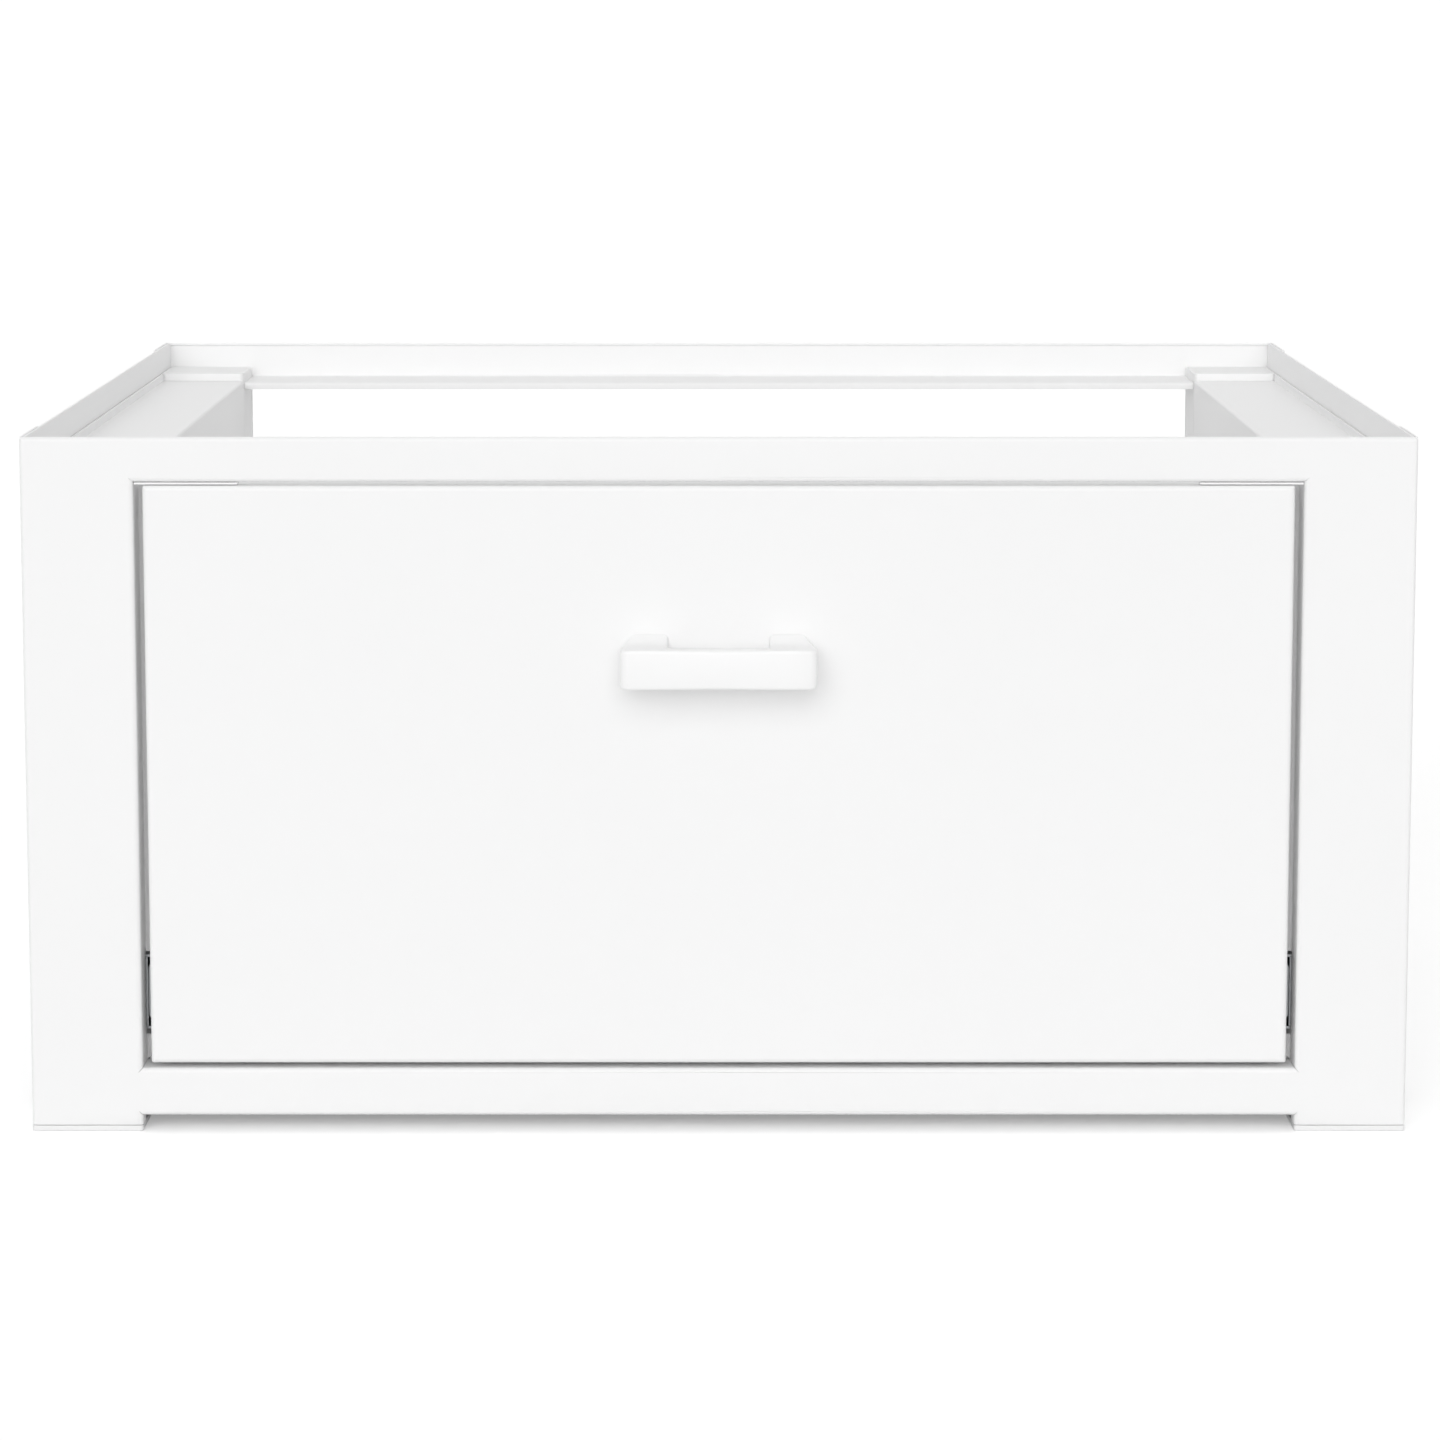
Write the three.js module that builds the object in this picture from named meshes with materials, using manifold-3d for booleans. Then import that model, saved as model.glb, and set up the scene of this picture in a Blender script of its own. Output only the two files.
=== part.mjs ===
// Washer pedestal with one drawer, folded from powder-coated sheet steel.
// Millimetres, +Z up. The drawer faces -Y, and the origin is on the floor under the middle of the part.
// Every piece is drawn with y = 0 at the front face, and the finished group is moved back to the origin.

import * as THREE from 'three';
import { mergeVertices } from 'three/addons/utils/BufferGeometryUtils.js';
import Module from 'manifold-3d';

// ---------------------------------------------------------------- driving dimensions

// Whole pedestal
const width = 630;
const depth = 540;              // front face to rear face, without the handle
const height = 320;             // floor to the top of the rim
const sheet = 1.2;              // steel of the frame
const bendInside = 0.8;         // inside radius of the frame's bends
const seam = 0.3;               // gap between pieces that are welded, riveted or bolted together
const relief = 0.25;            // folds stop this far short of the corners of an opening
const past = 1;                 // a cut runs this far beyond the faces that it goes through
const roundSides = 10;          // flat sides of a small round bar, hole or head

// Front and rear frames
const stileWidth = 51;
const topRailHeight = 20.3;
const bottomRailHeight = 22.1;
const legDrop = 4.4;            // legs reach this far below the bottom rails
const topHem = 2.6;             // top edges are turned back this far
const bottomFlange = 20;
const frontSideReturn = 51;     // folds that wrap round the side panels
const rearSideReturn = 57;
const legReturn = 10;           // folds along the inner sides of the front legs
const stopClearance = 0.3;      // between the drawer front and the lip that it closes against
const stopLip = 5;              // turned in behind the drawer front at the sides
const topReturn = 8;            // fold along the upper edge of the front opening
const slideNotch = 2;           // this lip is cut away so far above and below the slides
const rearFlange = 42;          // ledge that the rear top rail folds back into
const rearLip = 2.5;            // turned down at the inner edge of the rear ledge

// Platform for the machine: side panels, shelves with inner walls, corner posts
const rimHeight = 18;           // rim above the shelf
const panelFlange = 15;
const shelfUpstand = 4;         // small flange of the shelf against the side panel
const wallSetback = 2;          // inner wall behind the edge of the opening
const wallLift = 24;            // lower edge of the inner wall above the floor
const wallFlange = 12;
const endFlange = 15;           // folds at both ends of the inner wall, bolted to the posts
const endFlangeHeight = 210;
const endFlangeDrop = 32;       // top of these folds below the shelf
const postDepth = 44;
const postWall = 1.5;
const postRise = 4.2;           // post tops stand this far above the shelves
const gussetLength = 47;
const gussetSheet = 1;

// Foot pads
const footHeight = 3;
const footLength = 51;
const plugHeight = 12;
const plugWall = 2.5;

// Drawer
const drawerSheet = 1;
const drawerBend = 0.6;
const gapSide = 4;              // gaps round the drawer front
const gapTop = 1.7;
const gapBottom = 2.3;
const panDepth = 18;
const panRounding = 1.6;
const drawerLength = 450;
const drawerWallHeight = 200;
const drawerLift = 4.2;         // drawer box above the lower edge of its front
const topFlange = 8;
const topLip = 5;
const floorFlange = 14;
const frontTab = 12;
const frontTabInset = 6;        // front tabs stop this far from the box's floor and top edge
const backFlange = 14;
const backInset = 1;            // back panel inside the rear ends of the drawer sides
const notchClearance = 2;       // top flanges of the sides are cut away this far round the back panel

// Slides
const slideLength = 400;
const slideHeight = 35;
const slideThickness = 12.7;
const slideAboveSill = 31.4;    // middle of the slide above the lower edge of the opening
const slideSetback = 2;         // slide's front end behind the folds of the drawer front
const slideSheet = 1.2;
const slideBend = 0.4;
const slideLip = 2.1;
const slideEndStep = 1;         // each nested member stops this much short at both ends
const cabinetReach = 9.5;       // how far the cabinet member's flanges come towards the drawer
const middleReach = 10.6;
const ballDiameter = 3;
const ballClearance = 0.25;
const ballsPerRow = 6;
const ballSides = 6;            // flat sides and bands of a ball
const ballBands = 4;
const cageSheet = 0.4;
const cageGap = 1.2;            // space between two webs, where a cage runs
const cageLength = 190;
const cageSetback = 97;         // cage's front end behind the slide's, with the drawer shut
const cageRim = 2;              // cage sheet beyond the balls
const leverLength = 46;
const leverThickness = 3.5;
const leverHub = 8;
const leverTip = 4;
const leverPin = 3.4;
const leverPinClearance = 0.3;
const leverSetback = 150;       // lever's pivot behind the slide's front end

// Handle
const handleReach = 25;
const handleWidth = 88.4;
const handleHeight = 17.8;
const handleBar = 8;
const handleBelowTop = 93.4;    // top of the bar below the top of the pedestal
const handlePost = 16.5;
const handlePostInset = 4.7;
const handleFlare = 3.6;        // foot of each post rises this far above the bar
const handleFlareDepth = 8;
const handleFillet = 5;         // inner corners between the posts and the bar
const handleEdge = 1.6;         // rounding of its edges

// Fasteners
const screwShank = 4;
const screwHead = 8;
const screwHeadHeight = 2.2;
const domeShare = 0.4;          // rounded part of a screw's or rivet's head
const holeClearance = 0.3;      // radial
const handleScrewLength = 15;
const backScrewLength = 8;
const slideScrewInsets = [30, 330];
const backScrewHeights = [80, 165];
const rivetHeadHeight = 1.2;
const rivetInsets = [45, 360];
const boltShank = 6;
const boltHead = 10;            // across the flats
const boltHeadHeight = 4;
const boltLength = 10;
const boltInset = 40;           // bolts from the ends of the fold they go through

// ---------------------------------------------------------------- places worked out from them

const halfWidth = width / 2;
const openingHalf = halfWidth - stileWidth;
const openingTop = height - topRailHeight;
const railBottom = footHeight + legDrop;
const openingBottom = railBottom + bottomRailHeight;

const shelfTop = height - rimHeight;
const panelOuter = halfWidth - sheet - seam;
const panelInner = panelOuter - sheet;
const wallHalf = openingHalf + wallSetback;
const postOuter = panelInner - seam;
const postStart = sheet + seam;
const postEnd = postStart + postDepth;
const shelfStart = postEnd + seam;
const shelfEnd = depth - shelfStart;
const postTop = shelfTop + postRise;
const endFlangeTop = shelfTop - endFlangeDrop;
const endFlangeBottom = endFlangeTop - endFlangeHeight;
const boltHeights = [endFlangeBottom + boltInset, endFlangeTop - boltInset];
const boltX = wallHalf + sheet + endFlange / 2;

const panHalf = openingHalf - gapSide;
const panTop = openingTop - gapTop;
const panBottom = openingBottom + gapBottom;
const boxFloor = panBottom + drawerLift;
const boxTop = boxFloor + drawerWallHeight;
const boxStart = drawerSheet + seam;
const boxEnd = boxStart + drawerLength;

const stopDepth = panDepth + stopClearance;
const slideStart = panDepth + slideSetback;
const slideMiddle = openingBottom + slideAboveSill;
const slideWall = wallHalf - seam;
const boxHalf = slideWall - slideThickness - seam;
const insideHalf = boxHalf - drawerSheet - seam;
const track = ballDiameter + 2 * ballClearance;
const cabinetHalfHeight = slideHeight / 2;
const middleHalfHeight = cabinetHalfHeight - slideSheet - track;
const memberHalfHeight = middleHalfHeight - slideSheet - track;
const middleWeb = slideSheet + cageGap;
const memberReach = middleWeb + slideSheet + cageGap;

const backRear = boxEnd - backInset;
const backBottom = boxFloor + 2 * (drawerSheet + seam);
const backTop = boxTop - drawerSheet - seam;
const backScrewY = backRear - backFlange / 2;

const handleTop = height - handleBelowTop;
const handleBottom = handleTop - handleHeight;
const handleScrewZ = (handleTop + handleBottom) / 2;
const handlePostOuter = handleWidth / 2 - handlePostInset;
const handlePostInner = handlePostOuter - handlePost;
const handleScrewX = (handlePostOuter + handlePostInner) / 2;

const screwHole = screwShank + 2 * holeClearance;
const boltHole = boltShank + 2 * holeClearance;

// ---------------------------------------------------------------- finishes

const powderCoat = () => new THREE.MeshStandardMaterial({ color: 0xf6f6f5, roughness: 0.45, metalness: 0 });
const whitePlastic = () => new THREE.MeshStandardMaterial({ color: 0xf8f8f7, roughness: 0.35, metalness: 0 });
const zincPlate = () => new THREE.MeshStandardMaterial({ color: 0xb9bdc0, roughness: 0.35, metalness: 1 });
const ballSteel = () => new THREE.MeshStandardMaterial({ color: 0x9c9fa1, roughness: 0.25, metalness: 1 });
const blackPlastic = () => new THREE.MeshStandardMaterial({ color: 0x242526, roughness: 0.5, metalness: 0 });

// ---------------------------------------------------------------- joins, cuts and copies

const wasm = await Module();
wasm.setup();

function toSolid(geometry) {
  const bare = geometry.clone();
  bare.deleteAttribute('normal');
  bare.deleteAttribute('uv');
  const merged = mergeVertices(bare);
  return new wasm.Manifold(new wasm.Mesh({
    numProp: 3,
    vertProperties: new Float32Array(merged.attributes.position.array),
    triVerts: new Uint32Array(merged.index.array),
  }));
}

function toGeometry(solid) {
  const mesh = solid.getMesh();
  const geometry = new THREE.BufferGeometry();
  geometry.setAttribute('position', new THREE.BufferAttribute(new Float32Array(mesh.vertProperties), 3));
  geometry.setIndex(new THREE.BufferAttribute(new Uint32Array(mesh.triVerts), 1));
  geometry.computeVertexNormals();
  return geometry;
}

function join(first, ...others) {
  return toGeometry(others.reduce((sum, other) => sum.add(toSolid(other)), toSolid(first)));
}

function cut(body, ...tools) {
  return toGeometry(tools.reduce((rest, tool) => rest.subtract(toSolid(tool)), toSolid(body)));
}

// The right-hand copy of a left-hand piece, or the other way round, with its faces still pointing out.
function mirrored(geometry) {
  const copy = geometry.index ? geometry.clone() : mergeVertices(geometry.clone());
  const position = copy.attributes.position;
  for (let i = 0; i < position.count; i += 1) {
    position.setX(i, -position.getX(i));
  }
  const corners = copy.index;
  for (let i = 0; i < corners.count; i += 3) {
    const second = corners.getX(i + 1);
    corners.setX(i + 1, corners.getX(i + 2));
    corners.setX(i + 2, second);
  }
  copy.computeVertexNormals();
  return copy;
}

// A piece of the front turned round to the same place at the rear.
function turnedToRear(geometry) {
  return geometry.clone().rotateZ(Math.PI).translate(0, depth, 0);
}

// ---------------------------------------------------------------- plain shapes

function block(x0, x1, y0, y1, z0, z1) {
  const geometry = new THREE.BoxGeometry(x1 - x0, y1 - y0, z1 - z0);
  return geometry.translate((x0 + x1) / 2, (y0 + y1) / 2, (z0 + z1) / 2);
}

function extruded(shape, length) {
  return new THREE.ExtrudeGeometry(shape, { depth: length, bevelEnabled: false, curveSegments: 5 });
}

// A shape drawn in plan, in side view or in front view, and drawn out along the axis that is left.
function extrudedUp(shape, z0, z1) {
  return extruded(shape, z1 - z0).translate(0, 0, z0);
}

function extrudedAcross(shape, x0, x1) {
  const turn = new THREE.Matrix4().makeBasis(
    new THREE.Vector3(0, 1, 0),
    new THREE.Vector3(0, 0, 1),
    new THREE.Vector3(1, 0, 0),
  );
  return extruded(shape, x1 - x0).applyMatrix4(turn).translate(x0, 0, 0);
}

function extrudedBack(shape, y0, y1) {
  const turn = new THREE.Matrix4().makeBasis(
    new THREE.Vector3(1, 0, 0),
    new THREE.Vector3(0, 0, 1),
    new THREE.Vector3(0, -1, 0),
  );
  return extruded(shape, y1 - y0).applyMatrix4(turn).translate(0, y1, 0);
}

// A round bar from one point to another.
function rod(from, to, diameter) {
  const start = new THREE.Vector3(...from);
  const along = new THREE.Vector3(...to).sub(start);
  const length = along.length();
  const geometry = new THREE.CylinderGeometry(diameter / 2, diameter / 2, length, roundSides);
  geometry.translate(0, length / 2, 0);
  const turn = new THREE.Quaternion().setFromUnitVectors(new THREE.Vector3(0, 1, 0), along.normalize());
  return geometry.applyQuaternion(turn).translate(start.x, start.y, start.z);
}

function roundedRectangle(x0, x1, y0, y1, radius) {
  const shape = new THREE.Shape();
  shape.moveTo(x0 + radius, y0);
  shape.lineTo(x1 - radius, y0);
  shape.absarc(x1 - radius, y0 + radius, radius, -Math.PI / 2, 0, false);
  shape.lineTo(x1, y1 - radius);
  shape.absarc(x1 - radius, y1 - radius, radius, 0, Math.PI / 2, false);
  shape.lineTo(x0 + radius, y1);
  shape.absarc(x0 + radius, y1 - radius, radius, Math.PI / 2, Math.PI, false);
  shape.lineTo(x0, y0 + radius);
  shape.absarc(x0 + radius, y0 + radius, radius, Math.PI, 1.5 * Math.PI, false);
  return shape;
}

// ---------------------------------------------------------------- bent sheet

// The line through the corners, with an arc of its own radius at each corner between the two ends.
function withBends(corners, radii) {
  const stepsPerBend = 3;
  const points = [corners[0]];
  for (let i = 1; i < corners.length - 1; i += 1) {
    const back = corners[i - 1].clone().sub(corners[i]).normalize();
    const onward = corners[i + 1].clone().sub(corners[i]).normalize();
    const halfAngle = Math.acos(back.dot(onward)) / 2;
    const toCentre = back.clone().add(onward).normalize();
    const centre = corners[i].clone().addScaledVector(toCentre, radii[i] / Math.sin(halfAngle));
    const start = corners[i].clone().addScaledVector(back, radii[i] / Math.tan(halfAngle));
    const turn = (Math.PI - 2 * halfAngle) * Math.sign(back.y * onward.x - back.x * onward.y);
    for (let step = 0; step <= stepsPerBend; step += 1) {
      points.push(start.clone().rotateAround(centre, turn * step / stepsPerBend));
    }
  }
  points.push(corners[corners.length - 1]);
  return points;
}

// Section of a bent sheet. The corners run along one face of it, and the metal lies to their left.
function bentSheet(cornerList, thickness, insideRadius) {
  const corners = cornerList.map(([x, y]) => new THREE.Vector2(x, y));
  const normals = corners.slice(1).map((corner, i) => {
    const along = corner.clone().sub(corners[i]).normalize();
    return new THREE.Vector2(-along.y, along.x);
  });
  const farCorners = [];
  const nearRadii = [];
  const farRadii = [];
  corners.forEach((corner, i) => {
    const before = normals[Math.max(i - 1, 0)];
    const after = normals[Math.min(i, normals.length - 1)];
    const share = thickness / (1 + before.dot(after));
    farCorners.push(corner.clone().addScaledVector(before, share).addScaledVector(after, share));
    const metalInside = before.cross(after) > 0;
    nearRadii.push(metalInside ? insideRadius + thickness : insideRadius);
    farRadii.push(metalInside ? insideRadius : insideRadius + thickness);
  });
  const near = withBends(corners, nearRadii);
  const far = withBends(farCorners, farRadii);
  return new THREE.Shape([...near, ...far.reverse()]);
}

const frameSheet = (corners) => bentSheet(corners, sheet, bendInside);
const boxSheet = (corners) => bentSheet(corners, drawerSheet, drawerBend);

// ---------------------------------------------------------------- fasteners

// A domed head with its underside at the origin and its shank along +Y.
function screw(head, headHeight, shank, length) {
  const dome = domeShare * headHeight;
  return new THREE.LatheGeometry([
    new THREE.Vector2(0, -headHeight),
    new THREE.Vector2(head / 2 - dome, -headHeight),
    new THREE.Vector2(head / 2, -headHeight + dome),
    new THREE.Vector2(head / 2, 0),
    new THREE.Vector2(shank / 2, 0),
    new THREE.Vector2(shank / 2, length),
    new THREE.Vector2(0, length),
  ], roundSides);
}

function hexBolt(head, headHeight, shank, length) {
  const corner = head / 2 / Math.cos(Math.PI / 6);
  const hex = new THREE.CylinderGeometry(corner, corner, headHeight, 6).translate(0, -headHeight / 2, 0);
  return join(hex, rod([0, -headHeight / 2, 0], [0, length, 0], shank));
}

const towardsMiddle = new THREE.Vector3(-1, 0, 0);
const outwards = new THREE.Vector3(1, 0, 0);
const towardsFront = new THREE.Vector3(0, -1, 0);

// Points a fastener's shank along a direction, with its head's underside at a point.
function aimed(geometry, direction, x, y, z) {
  const turn = new THREE.Quaternion().setFromUnitVectors(new THREE.Vector3(0, 1, 0), direction);
  return geometry.clone().applyQuaternion(turn).translate(x, y, z);
}

// ---------------------------------------------------------------- the assembly

const pedestal = new THREE.Group();

function add(name, geometry, material) {
  const mesh = new THREE.Mesh(geometry, material);
  mesh.name = name;
  pedestal.add(mesh);
}

// Adds a right-hand piece and its mirror image on the left.
function addPair(name, geometry, finish) {
  add(`right_${name}`, geometry, finish());
  add(`left_${name}`, mirrored(geometry), finish());
}

// ---------------------------------------------------------------- front and rear frames

// One folded sheet with an opening, two legs, folds along its edges, and a small gap where two folds
// meet at a corner of the opening. jamb is the section of the folds along the sides of the opening, and
// without it the stiles have raw inner edges.
function endFrame({ openingSide, jamb, sideReturn, ledge }) {
  const bend = bendInside + sheet;
  const lap = 2 * bend;
  const foldEnd = openingSide - relief;
  const legInner = jamb ? openingSide + bend : openingSide;
  const face = new THREE.Shape([
    new THREE.Vector2(-halfWidth + bend, footHeight),
    new THREE.Vector2(-legInner, footHeight),
    new THREE.Vector2(-legInner, railBottom + bend),
    new THREE.Vector2(legInner, railBottom + bend),
    new THREE.Vector2(legInner, footHeight),
    new THREE.Vector2(halfWidth - bend, footHeight),
    new THREE.Vector2(halfWidth - bend, height - bend),
    new THREE.Vector2(-halfWidth + bend, height - bend),
  ]);
  face.holes.push(new THREE.Path([
    new THREE.Vector2(-legInner, openingBottom - bend),
    new THREE.Vector2(-legInner, openingTop + bend),
    new THREE.Vector2(legInner, openingTop + bend),
    new THREE.Vector2(legInner, openingBottom - bend),
  ]));
  const sideFold = frameSheet([
    [halfWidth - lap, 0],
    [halfWidth, 0],
    [halfWidth, sideReturn],
  ]);
  const topFold = frameSheet([
    [topHem, height],
    [0, height],
    [0, height - lap],
  ]);
  const sillFold = frameSheet([
    [bottomFlange, openingBottom],
    [0, openingBottom],
    [0, openingBottom - lap],
  ]);
  const lowerFold = frameSheet([
    [0, railBottom + lap],
    [0, railBottom],
    [bottomFlange, railBottom],
  ]);
  const side = extrudedUp(sideFold, footHeight, height);
  const body = join(
    extrudedBack(face, 0, sheet),
    side,
    mirrored(side),
    extrudedAcross(topFold, -postOuter, postOuter),
    extrudedAcross(frameSheet(ledge), -foldEnd, foldEnd),
    extrudedAcross(sillFold, -foldEnd, foldEnd),
    extrudedAcross(lowerFold, -foldEnd, foldEnd),
  );
  if (!jamb) return body;
  const edge = [openingSide + lap, 0];
  const jambFold = frameSheet([...jamb, [openingSide, 0], edge]);
  const legFold = frameSheet([[openingSide, legReturn], [openingSide, 0], edge]);
  const jambInPlace = extrudedUp(jambFold, openingBottom + relief, openingTop - relief);
  const leg = extrudedUp(legFold, footHeight, railBottom - relief);
  return join(body, jambInPlace, mirrored(jambInPlace), leg, mirrored(leg));
}

const ledgeLap = [0, openingTop + 2 * (bendInside + sheet)];

// The front's side returns end in a lip behind the drawer front, with a notch in it for the slide.
function frontFrame() {
  const frame = endFrame({
    openingSide: openingHalf,
    jamb: [[openingHalf - stopLip, stopDepth], [openingHalf, stopDepth]],
    sideReturn: frontSideReturn,
    ledge: [ledgeLap, [0, openingTop], [topReturn, openingTop]],
  });
  const notchHalf = slideHeight / 2 + slideNotch;
  const notch = block(
    openingHalf - stopLip - past,
    openingHalf,
    panDepth,
    slideStart,
    slideMiddle - notchHalf,
    slideMiddle + notchHalf,
  );
  return cut(frame, notch, mirrored(notch));
}

const rearFrame = endFrame({
  openingSide: wallHalf,
  sideReturn: rearSideReturn,
  ledge: [ledgeLap, [0, openingTop], [rearFlange, openingTop], [rearFlange, openingTop - rearLip]],
});

add('front_frame', frontFrame(), powderCoat());
add('rear_frame', turnedToRear(rearFrame), powderCoat());

// ---------------------------------------------------------------- side panels

// The panel runs from the rim down to a flange under it, between the folds of the two frames.
function sidePanel() {
  const lap = 2 * (bendInside + sheet);
  const lowerFold = frameSheet([
    [panelOuter - panelFlange, railBottom],
    [panelOuter, railBottom],
    [panelOuter, railBottom + lap],
  ]);
  const skin = block(panelInner, panelOuter, postStart, depth - postStart, railBottom + lap / 2, height);
  return join(skin, extrudedBack(lowerFold, shelfStart, shelfEnd));
}

addPair('side_panel', sidePanel(), powderCoat);

// ---------------------------------------------------------------- side shelves with inner walls

// The shelf folds up against the panel and down into the wall that carries the slide. The wall's ends
// fold outwards and are bolted to the posts.
function sideShelf() {
  const section = frameSheet([
    [postOuter - sheet, shelfTop + shelfUpstand],
    [postOuter - sheet, shelfTop],
    [wallHalf, shelfTop],
    [wallHalf, wallLift],
    [wallHalf + wallFlange, wallLift],
  ]);
  const endFold = frameSheet([
    [wallHalf, shelfStart + endFlange],
    [wallHalf, shelfStart],
    [wallHalf + sheet + endFlange, shelfStart],
  ]);
  const frontFold = extrudedUp(endFold, endFlangeBottom, endFlangeTop);
  const rearFold = mirrored(turnedToRear(frontFold));
  const bend = bendInside + sheet;
  const corners = [shelfStart, shelfEnd - bend].map((y) => {
    return block(wallHalf - past, wallHalf + bend, y, y + bend, endFlangeBottom, endFlangeTop);
  });
  const boltHoles = boltHeights.map((z) => rod([boltX, 0, z], [boltX, depth, z], boltHole));
  const rivetHoles = rivetInsets.map((inset) => {
    const y = slideStart + inset;
    return rod([wallHalf - past, y, slideMiddle], [wallHalf + sheet + past, y, slideMiddle], screwHole);
  });
  const shelf = cut(extrudedBack(section, shelfStart, shelfEnd), ...corners);
  return cut(join(shelf, frontFold, rearFold), ...boltHoles, ...rivetHoles);
}

addPair('side_shelf', sideShelf(), powderCoat);

// ---------------------------------------------------------------- corner posts

// Square tubes, closed on top, where the machine's feet stand.
function cornerPost() {
  const tube = block(wallHalf, postOuter, postStart, postEnd, footHeight + seam, postTop);
  const inside = block(
    wallHalf + postWall,
    postOuter - postWall,
    postStart + postWall,
    postEnd - postWall,
    0,
    postTop - postWall,
  );
  const boltHoles = boltHeights.map((z) => {
    return rod([boltX, postEnd - postWall - past, z], [boltX, postEnd + past, z], boltHole);
  });
  return cut(tube, inside, ...boltHoles);
}

const frontPost = cornerPost();
addPair('front_post', frontPost, powderCoat);
addPair('rear_post', mirrored(turnedToRear(frontPost)), powderCoat);

const bolt = hexBolt(boltHead, boltHeadHeight, boltShank, boltLength);
boltHeights.forEach((z, i) => {
  const place = i === 0 ? 'lower' : 'upper';
  const frontBolt = aimed(bolt, towardsFront, boltX, shelfStart + sheet + seam, z);
  addPair(`front_${place}_bolt`, frontBolt, zincPlate);
  addPair(`rear_${place}_bolt`, mirrored(turnedToRear(frontBolt)), zincPlate);
});

// ---------------------------------------------------------------- gussets and feet

// Small plates under the top rail's return, in the upper corners of the opening.
function gusset() {
  const top = openingTop - seam;
  return block(
    openingHalf - gussetLength,
    openingHalf - seam,
    postStart,
    topReturn - seam,
    top - gussetSheet,
    top,
  );
}

addPair('front_gusset', gusset(), powderCoat);

// A flat pad as wide as the leg, with a hollow plug that fits up into the post.
function footPad() {
  const pad = block(openingHalf, halfWidth, 0, footLength, 0, footHeight - seam);
  const gap = postWall + seam;
  const plug = block(
    wallHalf + gap,
    postOuter - gap,
    postStart + gap,
    postEnd - gap,
    0,
    footHeight + plugHeight,
  );
  const hollow = block(
    wallHalf + gap + plugWall,
    postOuter - gap - plugWall,
    postStart + gap + plugWall,
    postEnd - gap - plugWall,
    footHeight,
    footHeight + plugHeight + past,
  );
  return cut(join(pad, plug), hollow);
}

const frontPad = footPad();
addPair('front_foot', frontPad, whitePlastic);
addPair('rear_foot', mirrored(turnedToRear(frontPad)), whitePlastic);

// ---------------------------------------------------------------- drawer box

// The front is a pan, folded back on all four sides, with rounded edges.
function drawerFront() {
  const outline = (inset, radius) => roundedRectangle(
    -panHalf + inset, panHalf - inset, panBottom + inset, panTop - inset, radius);
  const rounded = new THREE.ExtrudeGeometry(outline(0, 2 * panRounding), {
    depth: panDepth,
    bevelThickness: panRounding,
    bevelSize: panRounding,
    bevelOffset: -panRounding,
    bevelSegments: 2,
    curveSegments: 4,
  });
  rounded.rotateX(Math.PI / 2).translate(0, panDepth + panRounding, 0);
  const roundedEnd = panDepth + 2 * panRounding + past;
  const inside = extrudedBack(outline(drawerSheet, panRounding), drawerSheet, roundedEnd);
  const behind = block(-width, width, panDepth, roundedEnd, 0, height);
  const holes = [-handleScrewX, handleScrewX].map((x) => {
    return rod([x, -past, handleScrewZ], [x, drawerSheet + past, handleScrewZ], screwHole);
  });
  return cut(rounded, inside, behind, ...holes);
}

add('drawer_front', drawerFront(), powderCoat());

// Each side has a flange and lip on top, a flange that carries the floor, and a tab behind the front.
function drawerSide() {
  const section = boxSheet([
    [boxHalf - floorFlange, boxFloor],
    [boxHalf, boxFloor],
    [boxHalf, boxTop],
    [boxHalf - topFlange, boxTop],
    [boxHalf - topFlange, boxTop - topLip],
  ]);
  const tab = boxSheet([
    [boxHalf - frontTab, boxStart],
    [boxHalf, boxStart],
    [boxHalf, boxStart + frontTab],
  ]);
  const tabBottom = boxFloor + frontTabInset;
  const tabTop = boxTop - frontTabInset;
  const bend = drawerBend + drawerSheet;
  const cornerCut = block(
    boxHalf - bend,
    boxHalf + past,
    boxStart - past,
    boxStart + bend,
    tabBottom,
    tabTop,
  );
  const notch = block(
    boxHalf - topFlange - past,
    boxHalf - drawerSheet,
    backRear - backFlange - notchClearance,
    boxEnd + past,
    boxTop - topLip - past,
    boxTop + past,
  );
  const wall = cut(extrudedBack(section, boxStart, boxEnd), cornerCut, notch);
  const inside = boxHalf - drawerSheet - past;
  const slideHoles = slideScrewInsets.map((inset) => {
    const y = slideStart + inset;
    return rod([inside, y, slideMiddle], [boxHalf + past, y, slideMiddle], screwHole);
  });
  const backHoles = backScrewHeights.map((rise) => {
    const z = boxFloor + rise;
    return rod([inside, backScrewY, z], [boxHalf + past, backScrewY, z], screwHole);
  });
  return cut(join(wall, extrudedUp(tab, tabBottom, tabTop)), ...slideHoles, ...backHoles);
}

addPair('drawer_side', drawerSide(), powderCoat);

function drawerBottom() {
  const bottom = boxFloor + drawerSheet + seam;
  return block(-insideHalf, insideHalf, boxStart, backRear, bottom, bottom + drawerSheet);
}

add('drawer_bottom', drawerBottom(), powderCoat());

function drawerBack() {
  const section = boxSheet([
    [insideHalf, backRear - backFlange],
    [insideHalf, backRear],
    [-insideHalf, backRear],
    [-insideHalf, backRear - backFlange],
  ]);
  const holes = backScrewHeights.map((rise) => {
    const z = boxFloor + rise;
    return rod([-width, backScrewY, z], [width, backScrewY, z], screwHole);
  });
  return cut(extrudedUp(section, backBottom, backTop), ...holes);
}

add('drawer_back', drawerBack(), powderCoat());

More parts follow.
